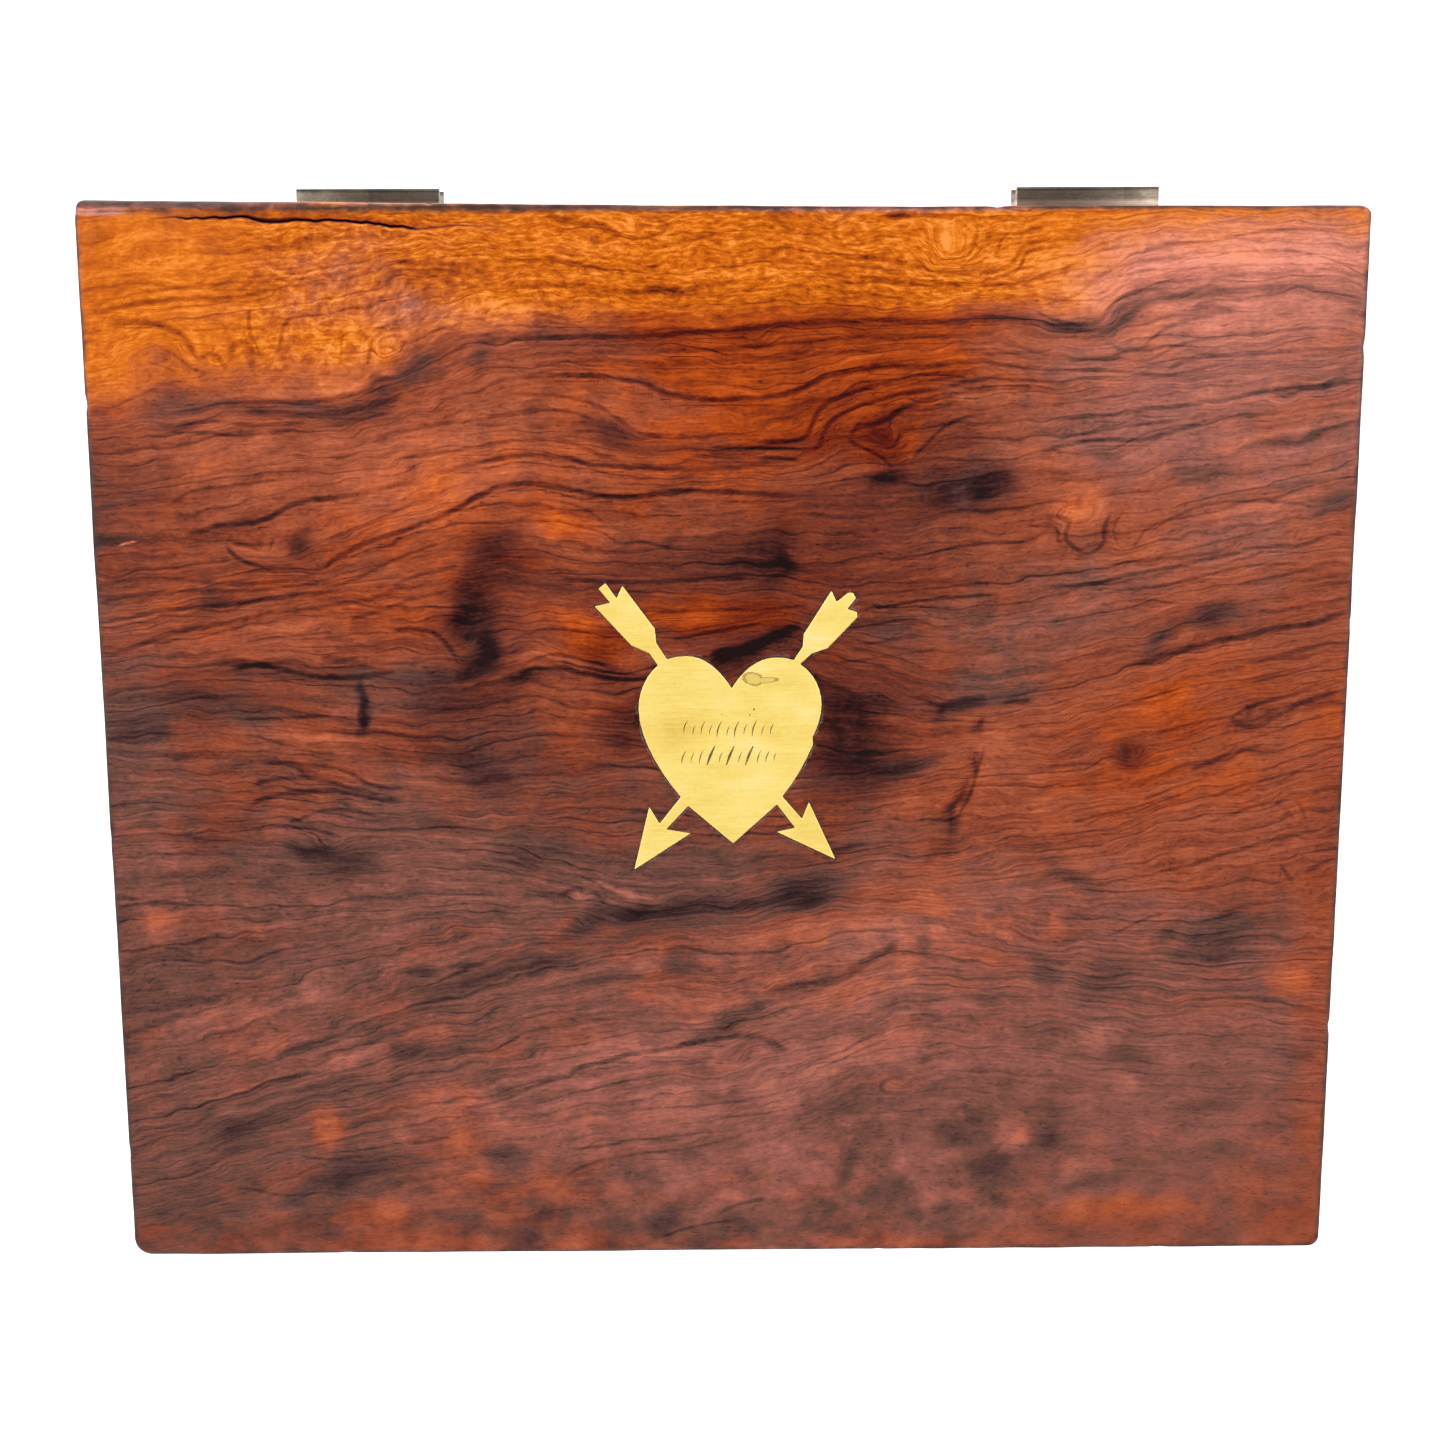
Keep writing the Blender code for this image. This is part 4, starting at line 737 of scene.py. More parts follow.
    (0.55, 16, -99, 44, -95, 46, -91, 48.6, -87, 50.6, -82.6, 52.3, -78, 53.7, -70, 56.3, -63.8, 59.1,
     -59.8, 61.4, -55, 64, -50, 65.3, -43, 64.9, -35, 63.2, -28, 61.9, -22, 61.7, -17.6, 62.4, -9.4, 63.4,
     -1, 62.9, 6, 62.6, 14, 62, 22, 61.4),
    (0.45, 12, -118.4, 51, -117, 48.8, -114.4, 46.8, -110, 45.7, -106, 45.5, -102, 46.2),
    (0.35, 8, -116.6, 51.2, -111, 51, -106.6, 51.4),
    (0.4, 8, -149, 41.4, -142, 42.6, -136, 43.4, -130, 43, -124, 42, -117, 41.7, -109, 41.9, -102, 42.8,
     -96, 44.2),
    (0.4, 8, -149, 37.6, -142, 38.8, -135, 39.7, -128, 40.2, -118, 40, -110, 40.2, -101, 41.2, -94, 42.6),
    (0.5, 14, -149, 32.8, -142, 33.8, -136, 35.1, -129, 35.9, -123, 36.4, -116, 37, -110, 37.8,
     -104, 38.8, -97, 39.4, -90, 39.8),
    (0.5, 12, -149, 24.4, -143, 26, -138, 28.1, -133, 29.9, -126, 31.2, -120, 32.2, -114, 33.6,
     -108, 34.9, -101, 35.6, -94, 36.4, -86, 37.6, -80, 39.6, -75, 41.4),
    (0.3, 7, -115, 27.9, -108, 28.8, -101, 29.5, -94, 30),
    (0.6, 14, -119, 21.2, -113.6, 22.3, -109.4, 21.9, -104, 20.5, -98.6, 19.3, -91, 19, -85, 19.6,
     -79, 20.3),
    (0.8, 11, -97, 23.6, -93, 23.3, -88, 23.6),
    (0.35, 10, -116, 9.2, -109, 9.1, -103, 9.5, -95, 9.8),
    (0.35, 9, -116, 5.6, -110, 3.8, -105, 2.3, -100, 1, -94, 0.2),
    (0.8, 8, -87.4, 17, -86.9, 14, -87.5, 11.4, -88.4, 9.2, -86.6, 6.4),
    (0.35, 7, -95, 52, -88, 54.6, -81, 57.6, -74, 60),
    (0.35, 7, -96, 40.6, -88, 42.4, -81, 46.4, -75, 48.8, -68, 51),
    (0.4, 9, -90, 33, -84, 34.6, -78, 36.8, -72, 38.4, -66, 40),
    (0.4, 8, -79, 41.2, -74, 43.3, -69, 44.8, -63.6, 45.6),
    (0.5, 10, -80, 30.4, -74, 30.8, -70.6, 30, -68, 28.4, -66, 26, -64.6, 23.4),
    (0.3, 8, -43, 57.6, -37, 55.4, -32, 54.4, -28.8, 53.4, -26.6, 51.4, -24, 50.9, -20, 51.5, -17, 50.4,
     -12, 50),
    (0.3, 7, -46, 61.6, -40, 61, -35, 59.8, -31, 57.8, -28.8, 55.6),
    (0.3, 7, -45, 50.6, -38, 50.2, -32.6, 49, -27, 48.4),
    (0.3, 7, -51.6, 27.4, -49, 29, -45, 30.2, -40, 30.6, -35, 30.1, -30, 29),
    (0.35, 10, -48.6, 21.9, -45.5, 23.6, -42, 24.7, -38, 24.2, -34, 22.9, -29, 21.8),
    (0.5, 15, -50, 19.4, -46.8, 21, -40.5, 21.2, -35.5, 19.9, -29.3, 18.7, -23, 18, -18, 18.6),
    (0.3, 8, -40, 22.8, -34, 21.2, -28, 20, -22, 19.4),
    (0.55, 11, -40, 42.6, -33, 42, -26, 41.6, -18, 41.6, -10, 42, -2, 42.2, 6, 42.6),
    (0.35, 9, -13, 28, -8, 28.8, -3, 29.6, 2, 30.8, 8, 31.6),
    (0.35, 8, -18, 34.4, -10, 34.6, -3, 35, 6, 35, 13, 35.3, 19, 35.8),
    (0.9, 12, -4, 24.4, 1.6, 25, 6.6, 26, 10, 27.8, 13.4, 29.6, 17.4, 31),
    (0.35, 10, 38, 46.4, 44, 47, 50, 48.7, 57, 50, 64, 50.8, 72, 50.8),
    (0.35, 14, 31, 34.6, 37.6, 35.3, 43.6, 36.6, 50, 37.3, 57.4, 37.9, 65, 38.4),
    (0.3, 8, 29, 30.4, 35, 31, 40, 32.2, 46, 32.8),
    (0.3, 8, 32, 26.4, 39, 27.2, 46, 28.2),
    (0.3, 7, 36, 38.6, 45, 39.5, 54, 40.3, 63, 41),
    (0.3, 7, 27, 22.2, 34, 22.8, 42, 24, 50, 25),
    (0.9, 9, 50.6, 10.2, 53.4, 11.7, 58, 12.8, 62, 13.2),
    (0.7, 10, 66.6, 11.8, 69.6, 12.7, 73, 12.2),
    (0.6, 7, 61.7, 8.2, 61.2, 6.4, 60.9, 4.8),
    (0.45, 13, 76, 39.6, 86, 40.6, 91, 41.3, 94, 42.6, 100, 43.4, 105, 44.4, 112, 45.7, 120, 47.6,
     125.4, 49.2, 131, 49.5, 137.6, 49.5, 141, 51.4, 149, 53),
    (0.35, 10, 90, 38.4, 95.6, 39.4, 104, 40, 109, 41.3, 115, 42.9, 120, 44, 126, 45, 132, 45.4,
     138, 45.2),
    (0.35, 9, 96.6, 49.4, 98.4, 51.4, 99.2, 53.6, 102.6, 55, 107.5, 57, 111.4, 58.9, 116, 60, 124, 60.3,
     131, 60, 136, 59.6, 141, 58.6),
    (0.5, 11, 76, 56.9, 79.6, 56.7, 81.8, 55.9, 81, 54, 80.4, 51.6, 82.6, 49.3, 86, 47.9),
    (0.45, 11, 91.4, 57.4, 90, 55.6, 89.8, 53.4, 90, 50.8, 88.4, 48.8, 86, 47.9),
    (0.3, 8, 94.4, 57.6, 92.4, 55.8, 91.8, 53, 93, 50.4),
    (0.3, 8, 72, 54.6, 78.4, 54.5, 79.2, 52.6, 78.6, 50.4),
    (0.3, 7, 90, 45, 97, 46, 103, 47.3, 109, 48.6, 116, 50.4, 124, 52.4, 132, 54.4),
    (0.3, 8, 91, 36, 95.6, 36.7, 101, 36.9, 104.6, 36.2, 109, 36),
    (0.65, 14, 96, 20.6, 100, 21.6, 105, 23.5, 110, 24.8, 115, 26, 120, 27.3, 127, 28.5, 131, 29.8,
     137.5, 30.4, 143, 31.4, 149, 34),
    (0.3, 8, 126, 16.6, 131, 17.8, 136, 18.8, 140, 20.2, 146, 22),
    (0.35, 9, 104, 4.6, 110, 6, 115, 7.2, 121, 8.4),
    (0.6, 11, 121.6, 9, 122.6, 7.2, 125, 5.9, 128.4, 5.8, 131, 7.4, 135, 9.8, 141, 12.6, 148, 15),
    (0.5, 10, 122.4, 8.6, 125.4, 10.6, 130, 12, 136, 13.4, 142, 16),
    (0.3, 8, 119, 0.4, 127, 2.8, 135, 5.4, 144, 8.8),
    (0.3, 8, 90, 9.6, 96, 11.4, 102, 13.2, 109, 15),
    (0.55, 12, -116.4, -12.4, -113, -10.8, -109.9, -9.9, -105, -9.2, -98.6, -8.7, -94.3, -8.6,
     -90.5, -9.6, -85.5, -10.8, -78, -11.5),
    (0.45, 10, -115, -7.2, -110.6, -6, -106.6, -5.4, -100, -5.5, -94, -6.9, -89.9, -8.6, -84, -10),
    (0.4, 10, -112, -2.2, -107, -1.4, -102.6, -2, -98, -2.6, -93.6, -3, -90.4, -4.7, -86.6, -7.2,
     -80, -8.6),
    (0.4, 9, -106.6, -16.6, -103.6, -15.8, -99.9, -13.9, -95, -13, -90, -13.8, -84, -15.4),
    (0.4, 11, -115, -19, -112.4, -18, -109.4, -17.4, -104.3, -17.5, -99, -18.7, -94, -20),
    (0.4, 7, -149, -37.6, -143, -36.6, -137, -36, -130, -37.2),
    (0.4, 7, -146, -48.8, -140.5, -47.4, -135.5, -47.8, -131, -50),
    (0.6, 10, -41, -35.6, -38.8, -33.9, -35.4, -33.2, -32, -34.7, -30, -36.9),
    (0.35, 7, -36, -30.2, -33, -31.6, -30.4, -33.4, -26.6, -35),
    (0.35, 7, -124, -110.2, -118, -111, -114.4, -112.2, -108, -112.6, -103, -111.6),
    (0.35, 8, -107, -102, -102.6, -102.9, -97, -102.9, -92, -102),
    (0.35, 8, -79, -98.9, -74.6, -98.4, -69.6, -97.2),
    (0.55, 15, -39.4, -81.4, -36.8, -79, -33, -78.4, -28.6, -77.4, -25, -75.9, -20, -75.3, -14.3, -74.6,
     -9.3, -73.1, -3, -72.1, 2, -71.6),
    (0.35, 8, -66, -89.8, -60, -88.7, -55, -87.4, -49.9, -84.7, -44.3, -82.8, -38, -81.4),
    (0.35, 8, -39, -100.8, -33, -100.2, -28.6, -99.6, -24.3, -98.2, -19.8, -98.3, -14, -97.4, -6, -96.6),
    (0.35, 8, -41, -107.6, -35, -104.6, -28.6, -103.1, -22, -102, -14, -101.4),
    (0.3, 7, -22, -90.4, -15, -90, -9, -89.8, -3, -89, 6, -88, 13, -86.2, 20, -84.4),
    (0.35, 8, -17, -124.4, -13, -122.8, -9, -121.6, -4, -120.6, 2, -120),
    (0.4, 8, 62.4, 1, 61, -3, 59.8, -8.6, 58.2, -12.4, 56.4, -15.4),
    (0.9, 9, 9, -60, 16, -58.7, 23, -58, 29.3, -56.4, 33.4, -53, 38, -50, 42.4, -47.8),
    (0.8, 10, 0, -71.6, 5, -71.2, 9.3, -72.1, 11.9, -73.4, 14.4, -75.4),
    (0.35, 9, 17, -80, 21, -78.4, 25, -76.8, 29.3, -75.2, 33, -72.9, 38, -70.7, 43, -69.1, 48.6, -66.6),
    (0.3, 7, 22, -80.4, 28, -77.6, 34, -74.8, 40, -72.6),
    (0.3, 7, -3, -92.8, 5, -92.2, 13, -91, 19, -89.4),
    (0.45, 10, -3, -118.4, 0, -116.8, 4, -115.4, 9, -114.2),
    (0.5, 8, 43.8, -82.6, 40.4, -82.4, 38, -83.8, 38.4, -86, 41.4, -87, 45, -86.2),
    (0.45, 11, 107, -29.8, 113, -28.7, 117.5, -26.9, 121.3, -25.5, 126.9, -24.2, 131, -22.7, 137.5, -21,
     145, -20),
    (0.35, 8, 101, -12.2, 106, -10.2, 111, -8.2, 117, -6.6),
    (0.45, 10, 112.6, -4.6, 116, -3.3, 120, -1.8, 124.6, 0.2, 130, 1.4),
    (0.35, 9, 118, -17.6, 123, -15.6, 129, -13.6, 136, -12.4, 141, -11.6),
    (0.35, 9, 118.6, -11.2, 124, -9, 130, -7.6, 137, -5.6, 144, -3),
    (0.5, 10, 135.4, -28.6, 136.8, -30.4, 138.6, -32.6),
    (0.45, 8, 133.6, -13.2, 136.6, -14.6, 138, -17),
    (0.45, 8, 138.4, -12.2, 140.4, -14.6, 141.2, -17.8),
    (0.35, 8, 78, -3.6, 86, -3, 92, -3.2),
    (0.35, 8, 76, -9.2, 84, -8.4, 92, -7.6, 99, -6.4),
    (0.3, 7, 84, -17.4, 91, -15.8, 98, -14.4, 105, -12),
    (0.3, 7, 90, -33.6, 97, -31.8, 104, -30.8, 110, -29),
    (0.3, 7, 93, -46.6, 98, -44.4, 103, -41.8, 108, -40.4),
    (0.25, -45, -143.4, 51, -141.5, 51.6, -139.8, 51.9),
)
print("single lines:", len(DARK_LINES))

# %% [markdown]
# ## From the drawing to the lid
#
# The sums are done once for each vertex of the lid and kept there as attributes, because hundreds of
# clouds and lines would be slow in a shader. The shader only reads the attributes.

# %% Define how far across the grain a point lies
EYE_FLATNESS = 0.6
# Half the length of a ring line and the window that rounds its corners, in millimetres
RUN_ENDS = 175
RUN_SMOOTHING = 13


def soft_step(share):
    """An S curve from 0 to 1."""
    share = np.clip(share, 0, 1)
    return share * share * (3 - 2 * share)


def smooth_run(points, xs):
    """A ring line through its points, with the corners rubbed off."""
    table = np.arange(-RUN_ENDS, RUN_ENDS + 1)
    kernel = np.hanning(RUN_SMOOTHING)
    line = np.interp(table, *zip(*points))
    line = np.convolve(np.pad(line, RUN_SMOOTHING // 2, mode="edge"), kernel / kernel.sum(), "valid")
    return np.interp(xs, table, line)


def across_grain(x, y):
    """How far across the grain each point lies."""
    levels = [level for level, _ in RING_LINES]
    runs = [smooth_run(points, x) for _, points in RING_LINES]
    across = levels[0] + np.minimum(y - runs[0], 0) + np.maximum(y - runs[-1], 0)
    for low, high, below, above in zip(levels, levels[1:], runs, runs[1:]):
        across += (high - low) * np.clip((y - below) / (above - below), 0, 1)
    for eye_x, eye_y, reach, lift in EYES:
        away = np.hypot((x - eye_x) / reach, (y - eye_y) / (reach * EYE_FLATNESS))
        across += lift * soft_step(1 - away)
    return across


# %% Define the sums of the clouds
CLOUD_SOFTNESS = 1.25
SECOND_SEED = 50


def cloud_sums(x, y):
    """How much the clouds change the tone and the warmth at each point."""
    tone = np.zeros(x.shape)
    warmth = np.zeros(x.shape)
    for cloud_x, cloud_y, turn, reach_along, reach_across, tone_change, warmth_change in CLOUDS:
        cos, sin = math.cos(math.radians(turn)), math.sin(math.radians(turn))
        along = ((x - cloud_x) * cos + (y - cloud_y) * sin) / reach_along
        across = ((y - cloud_y) * cos - (x - cloud_x) * sin) / reach_across
        share = soft_step(1 - np.hypot(along, across) / CLOUD_SOFTNESS)
        tone += tone_change / 100 * share
        warmth += warmth_change / 100 * share
    return tone, warmth


def ripple(x, y, size, seed):
    """Smooth noise from -1 to 1 for each point, the same in each run."""
    return np.array([noise.noise(Vector((a / size, b / size, seed))) for a, b in zip(x, y)])


def wandering(points, size, reach, seed):
    """A smooth shift in x and y for each point, with bumps of about this size."""
    x, y = points.T
    sideways = ripple(x, 1.6 * y, size, seed)
    upwards = 0.5 * ripple(x, 1.6 * y, size, seed + SECOND_SEED)
    return reach * np.column_stack((sideways, upwards))


# %% Define how the dark lines are laid
LINE_LAYERS = 3
# A line is whole up to the first distance and gone at the second, in millimetres
LINE_REACH = (1.2, 2.4)
LINE_TAPER = 0.14
CORNER_CUTS = 3
FAR = 9.0


def smooth_stroke(points):
    """The points of a line, with its corners cut again and again."""
    line = np.array(points, float)
    for _ in range(CORNER_CUTS):
        near_start = 0.75 * line[:-1] + 0.25 * line[1:]
        near_end = 0.25 * line[:-1] + 0.75 * line[1:]
        inner = np.stack((near_start, near_end), 1).reshape(-1, 2)
        line = np.vstack((line[:1], inner, line[-1:]))
    return line


def beside_line(plan, line):
    """For each point: how far it is from a line, left of it or right, and at what share of its length."""
    best = np.full(len(plan), np.inf)
    side = np.ones(len(plan))
    share = np.zeros(len(plan))
    for number, (start, end) in enumerate(zip(line[:-1], line[1:])):
        step = end - start
        offset = plan - start
        part = np.clip(offset @ step / (step @ step), 0, 1)
        away = np.hypot(*(offset - part[:, None] * step).T)
        closer = away < best
        best[closer] = away[closer]
        side[closer] = np.sign(step[0] * offset[closer, 1] - step[1] * offset[closer, 0] + 1e-9)
        share[closer] = (number + part[closer]) / (len(line) - 1)
    return best, side, share


def drawn_lines(plan):
    """Lay the dark lines in layers, so that near neighbours never share one.

    Gives, for each layer, how far a point is from its line in half widths, and how dark that line is.
    """
    nearest = np.full((LINE_LAYERS, len(plan)), FAR)
    offsets = np.full((LINE_LAYERS, len(plan)), FAR)
    depths = np.zeros((LINE_LAYERS, len(plan)))
    for half_width, depth, *numbers in DARK_LINES:
        line = smooth_stroke(np.reshape(numbers, (-1, 2)))
        low, high = line.min(0) - LINE_REACH[1], line.max(0) + LINE_REACH[1]
        picked = np.nonzero(((plan > low) & (plan < high)).all(1))[0]
        away, side, share = beside_line(plan[picked], line)
        close = away < LINE_REACH[1]
        picked, away, side, share = picked[close], away[close], side[close], share[close]
        if not len(picked):
            continue
        layer = int(np.argmax([nearest[row][picked].min() for row in range(LINE_LAYERS)]))
        ours = away < nearest[layer][picked]
        picked, away, side, share = picked[ours], away[ours], side[ours], share[ours]
        taper = soft_step(share / LINE_TAPER) * soft_step((1 - share) / LINE_TAPER)
        fade = soft_step((LINE_REACH[1] - away) / (LINE_REACH[1] - LINE_REACH[0]))
        nearest[layer][picked] = away
        offsets[layer][picked] = away * side / half_width
        depths[layer][picked] = depth / 100 * taper * fade
    return offsets, depths


# %% Define how the figure is kept on a piece
def vertex_places(obj):
    """The places of all the vertices, one row for each."""
    places = np.zeros(3 * len(obj.data.vertices))
    obj.data.vertices.foreach_get("co", places)
    return places.reshape(-1, 3)


def paint_figure(obj):
    """Keep the lid's figure on a piece, as attributes of its vertices."""
    mesh = obj.data
    plan = vertex_places(obj)[:, :2] / MM
    offsets, depths = drawn_lines(plan)
    plan = plan + wandering(plan, 18, 3.0, 1.5) + wandering(plan, 6, 2.2, 7.5)
    tone, warmth = cloud_sums(plan[:, 0], plan[:, 1])
    values = {"Across": across_grain(plan[:, 0], plan[:, 1]), "Tone": tone, "Warmth": warmth}
    for label, numbers in values.items():
        attribute = mesh.attributes.new(label, "FLOAT", "POINT")
        attribute.data.foreach_set("value", numbers.astype(np.float32))
    for label, numbers in {"Line offsets": offsets, "Line depths": depths}.items():
        attribute = mesh.attributes.new(label, "FLOAT_VECTOR", "POINT")
        attribute.data.foreach_set("vector", numbers.T.astype(np.float32).ravel())
    print(obj.name, "tone from", round(tone.min(), 2), "to", round(tone.max(), 2))
    print(obj.name, "carries", len(DARK_LINES), "drawn lines")

# %% [markdown]
# ## Worn and shaded edges
#
# Hands and cloths reach the edges of a box first. The polish there darkens with wax and dirt, and at the
# most exposed spots it is rubbed through to paler wood. The same dark mask also paints the shade that
# falls on the rounded arrises. An edge is where two outer faces are near at once, so the mask takes the
# second smallest of the three distances to the faces of a block.

# %% Build the group of worn edges, with their grime and painted shade
wiring, given, result = new_group(
    "Worn and shaded edges",
    (("Place", "Vector", None), ("Low", "Vector", None), ("High", "Vector", None), ("Reach", "Float", 1.2)),
    (("Grime and edge shade", "Float"), ("Rubbed", "Float")),
)
from_low = wiring.add("VectorMath", {0: given["Place"], 1: given["Low"]}, operation="SUBTRACT")
from_high = wiring.add("VectorMath", {0: given["High"], 1: given["Place"]}, operation="SUBTRACT")
nearest = wiring.add("VectorMath", {0: from_low, 1: from_high}, operation="MINIMUM")
dx, dy, dz = wiring.split(nearest)
inner_pair = wiring.math("MINIMUM", dx, dy)
outer_pair = wiring.math("MAXIMUM", dx, dy)
second = wiring.math("MAXIMUM", inner_pair, wiring.math("MINIMUM", outer_pair, dz))
patchy = wiring.noise(wiring.shrink(given["Place"], 5), 3.0, 0.6)
ragged = wiring.total(second, wiring.scaled(patchy, 2.2))
# The grime mask is dirt, and also painted shade along the rounded arrises
wiring.join(wiring.spread(ragged, given["Reach"], 0.0), result["Grime and edge shade"])
exposed = wiring.noise(wiring.shrink(given["Place"], 17), 3.0, 0.65)
rubbed = wiring.math("MULTIPLY", wiring.spread(ragged, 0.7, -0.1), wiring.spread(exposed, 0.06, 0.2))
wiring.join(rubbed, result["Rubbed"])
print("worn edge group:", len(wiring.tree.nodes), "nodes")

# %% [markdown]
# ## Polished wood, outside and in
#
# The outside has a thin old polish, satin more than glossy. The boards of the sides get a plainer figure
# than the lid, worked out in the shader itself from noise, so that it runs on from the case to the lid.
# Inside, the wood was only planed. There it is browner and dull. The inside is known by its place: it is
# nearer the middle than the thickness of the walls.

# %% Define the wood materials
BARE_WOOD = (
    (0.10, (0.045, 0.016, 0.009)), (0.25, (0.115, 0.044, 0.022)), (0.35, (0.180, 0.074, 0.037)),
    (0.45, (0.255, 0.112, 0.058)), (0.60, (0.38, 0.19, 0.105)),
)
# Near black, for grime and for the painted shade of the rounded arrises
GRIME_AND_EDGE_SHADE = (0.018, 0.009, 0.007, 1)
RUBBED_WOOD = (0.42, 0.21, 0.13, 1)
POLISH_ROUGHNESS = 0.34
BARE_ROUGHNESS = 0.62
# How far across the grain the sapwood begins, and where it is full
SAPWOOD_EDGE = (99.0, 107.5)
# How far a board is moved in figure space, to one side or the other, so that opposite boards differ
BOARD_SHIFT = 210.0


def object_place(wiring):
    """The point on the surface, in millimetres."""
    return wiring.shrink(wiring.add("TexCoord", out=3), MM)


def drawn_line_tone(wiring, place):
    """How dark the drawn lines are. Each wavers a little and is darker in some places than in others."""
    offsets = wiring.add("Attribute", out=1, attribute_name="Line offsets")
    depths = wiring.add("Attribute", out=1, attribute_name="Line depths")
    waver = wiring.noise(wiring.shrink(place, 3), 2.0)
    fade = wiring.noise(wiring.shrink(place, 9), 2.0)
    layers = []
    for side, dark in zip(wiring.split(offsets), wiring.split(depths)):
        away = wiring.math("ABSOLUTE", wiring.math("MULTIPLY_ADD", waver, 1.6, side))
        layers.append(wiring.math("MULTIPLY", wiring.spread(away, 1.9, 0.3), dark))
    return wiring.math("MULTIPLY", wiring.total(*layers), wiring.scaled(fade, 1.8, 1.0))


def lid_figure(wiring, place):
    """The lid's figure, from what was painted on its vertices."""
    across = wiring.add("Attribute", out=2, attribute_name="Across")
    tone = wiring.add("Attribute", out=2, attribute_name="Tone")
    warmth = wiring.add("Attribute", out=2, attribute_name="Warmth")
    sideways = wiring.math("ADD", across, wiring.split(place)[2])
    edge_noise = wiring.noise(wiring.shrink(place, 5), 3.0)
    sapwood = wiring.spread(wiring.total(across, wiring.scaled(edge_noise, 6.0)), *SAPWOOD_EDGE)
    inputs = {
        "Place": place, "Across": sideways, "Tone": tone, "Warmth": warmth, "Sapwood": sapwood,
        "Drawn lines": drawn_line_tone(wiring, place),
    }
    return place_group(wiring, "Wood figure", inputs)


def side_figure(wiring, place, along_axis):
    """A figure for the upright boards: rings that wander along the board, and dark clouds."""
    x, y, z = wiring.split(place)
    along, deep = (x, y) if along_axis == "x" else (y, x)
    shift = wiring.scaled(wiring.math("SIGN", deep), BOARD_SHIFT)
    wander = wiring.noise(wiring.vector(wiring.scaled(along, 1 / 75), wiring.scaled(z, 1 / 48), shift), 2.0)
    local = wiring.noise(wiring.vector(wiring.scaled(along, 1 / 40), wiring.scaled(z, 1 / 17), shift), 1.0)
    across = wiring.total(z, wiring.scaled(wander, 34.0), wiring.scaled(local, 6.0), shift)
    cloud_place = wiring.vector(wiring.scaled(along, 1 / 48), wiring.scaled(across, 1 / 10), shift)
    cloud = wiring.noise(cloud_place, 2.0, 0.55)
    broad_place = wiring.vector(wiring.scaled(along, 1 / 90), wiring.scaled(across, 1 / 40), shift)
    broad = wiring.noise(broad_place, 1.0)
    tone = wiring.total(wiring.spread(cloud, 0.02, 0.26, -0.03, -0.21), wiring.scaled(broad, 0.16, -0.035))
    inputs = {
        "Place": wiring.vector(along, z, shift), "Across": across, "Tone": tone,
        "Warmth": wiring.scaled(broad, 2.2),
    }
    return place_group(wiring, "Wood figure", inputs)


def make_wood(name, along_axis):
    """Polished outside, bare inside. The lid's board has along_axis None."""
    material, wiring, shader = new_material(name)
    place = object_place(wiring)
    figure = side_figure(wiring, place, along_axis) if along_axis else lid_figure(wiring, place)
    low = (-HALF_WIDTH / MM, -HALF_DEPTH / MM, 0)
    high = (HALF_WIDTH / MM, HALF_DEPTH / MM, LID_TOP / MM)
    worn = place_group(wiring, "Worn and shaded edges", {"Place": place, "Low": low, "High": high, "Reach": 1.9})
    x, y, z = wiring.split(place)
    ceiling = (LID_TOP - TOP_THICKNESS) / MM
    past_x = wiring.scaled(wiring.math("ABSOLUTE", x), 1.0, (WALL - HALF_WIDTH) / MM)
    past_y = wiring.scaled(wiring.math("ABSOLUTE", y), 1.0, (WALL - HALF_DEPTH) / MM)
    inside = wiring.spread(wiring.math("MAXIMUM", past_x, past_y), 0.20, 0.05)
    under = wiring.spread(z, ceiling + 0.5, ceiling + 0.2)
    inside = wiring.math("MULTIPLY", inside, under)
    # Grime and painted shade darken the polish along the arrises
    polished = wiring.mix(wiring.scaled(worn["Grime and edge shade"], 0.95), figure["Colour"], GRIME_AND_EDGE_SHADE)
    polished = wiring.mix(wiring.scaled(worn["Rubbed"], 0.32), polished, RUBBED_WOOD)
    colour = wiring.mix(inside, polished, wiring.ramp(figure["Tone"], BARE_WOOD))
    wiring.join(colour, shader["Base Color"])
    smear = wiring.noise(wiring.shrink(place, 24), 4.0, 0.6)
    polish = wiring.total(
        wiring.scaled(smear, 0.14, POLISH_ROUGHNESS),
        wiring.scaled(inside, BARE_ROUGHNESS - POLISH_ROUGHNESS),
        wiring.scaled(worn["Grime and edge shade"], 0.42),
    )
    wiring.join(polish, shader["Roughness"])
    wiring.join(wiring.bump(figure["Relief"], 0.25, 0.00008), shader["Normal"])
    shader["Specular IOR Level"].default_value = 0.32
    return material


lid_wood = make_wood("polished wood of the lid", None)
front_wood = make_wood("polished wood of the front and back", "x")
side_wood = make_wood("polished wood of the sides", "y")
print("wood:", lid_wood.name, "has", len(lid_wood.node_tree.nodes), "nodes")

# %% [markdown]
# ## The lid's top board
#
# On the real box this is one thin board whose edges have been rounded by a century of hands. Its back
# edge is worn down towards both corners, and an old crack runs along the grain just in front of it.
# A flat board with bevels would look new. So the board starts as a grid, and each vertex is lowered or
# shifted a little, as one would in sculpt mode, but by a rule: the grid is fine near the edges and along
# the crack, and coarse in the middle. Then its rim is pulled down, the underside is filled, and the
# recess of the inlay is cut.

# %% Define how operators reach a piece
def only(obj):
    """Make a piece the only one selected, and the one that operators act on."""
    bpy.ops.object.select_all(action="DESELECT")
    obj.select_set(True)
    bpy.context.view_layer.objects.active = obj


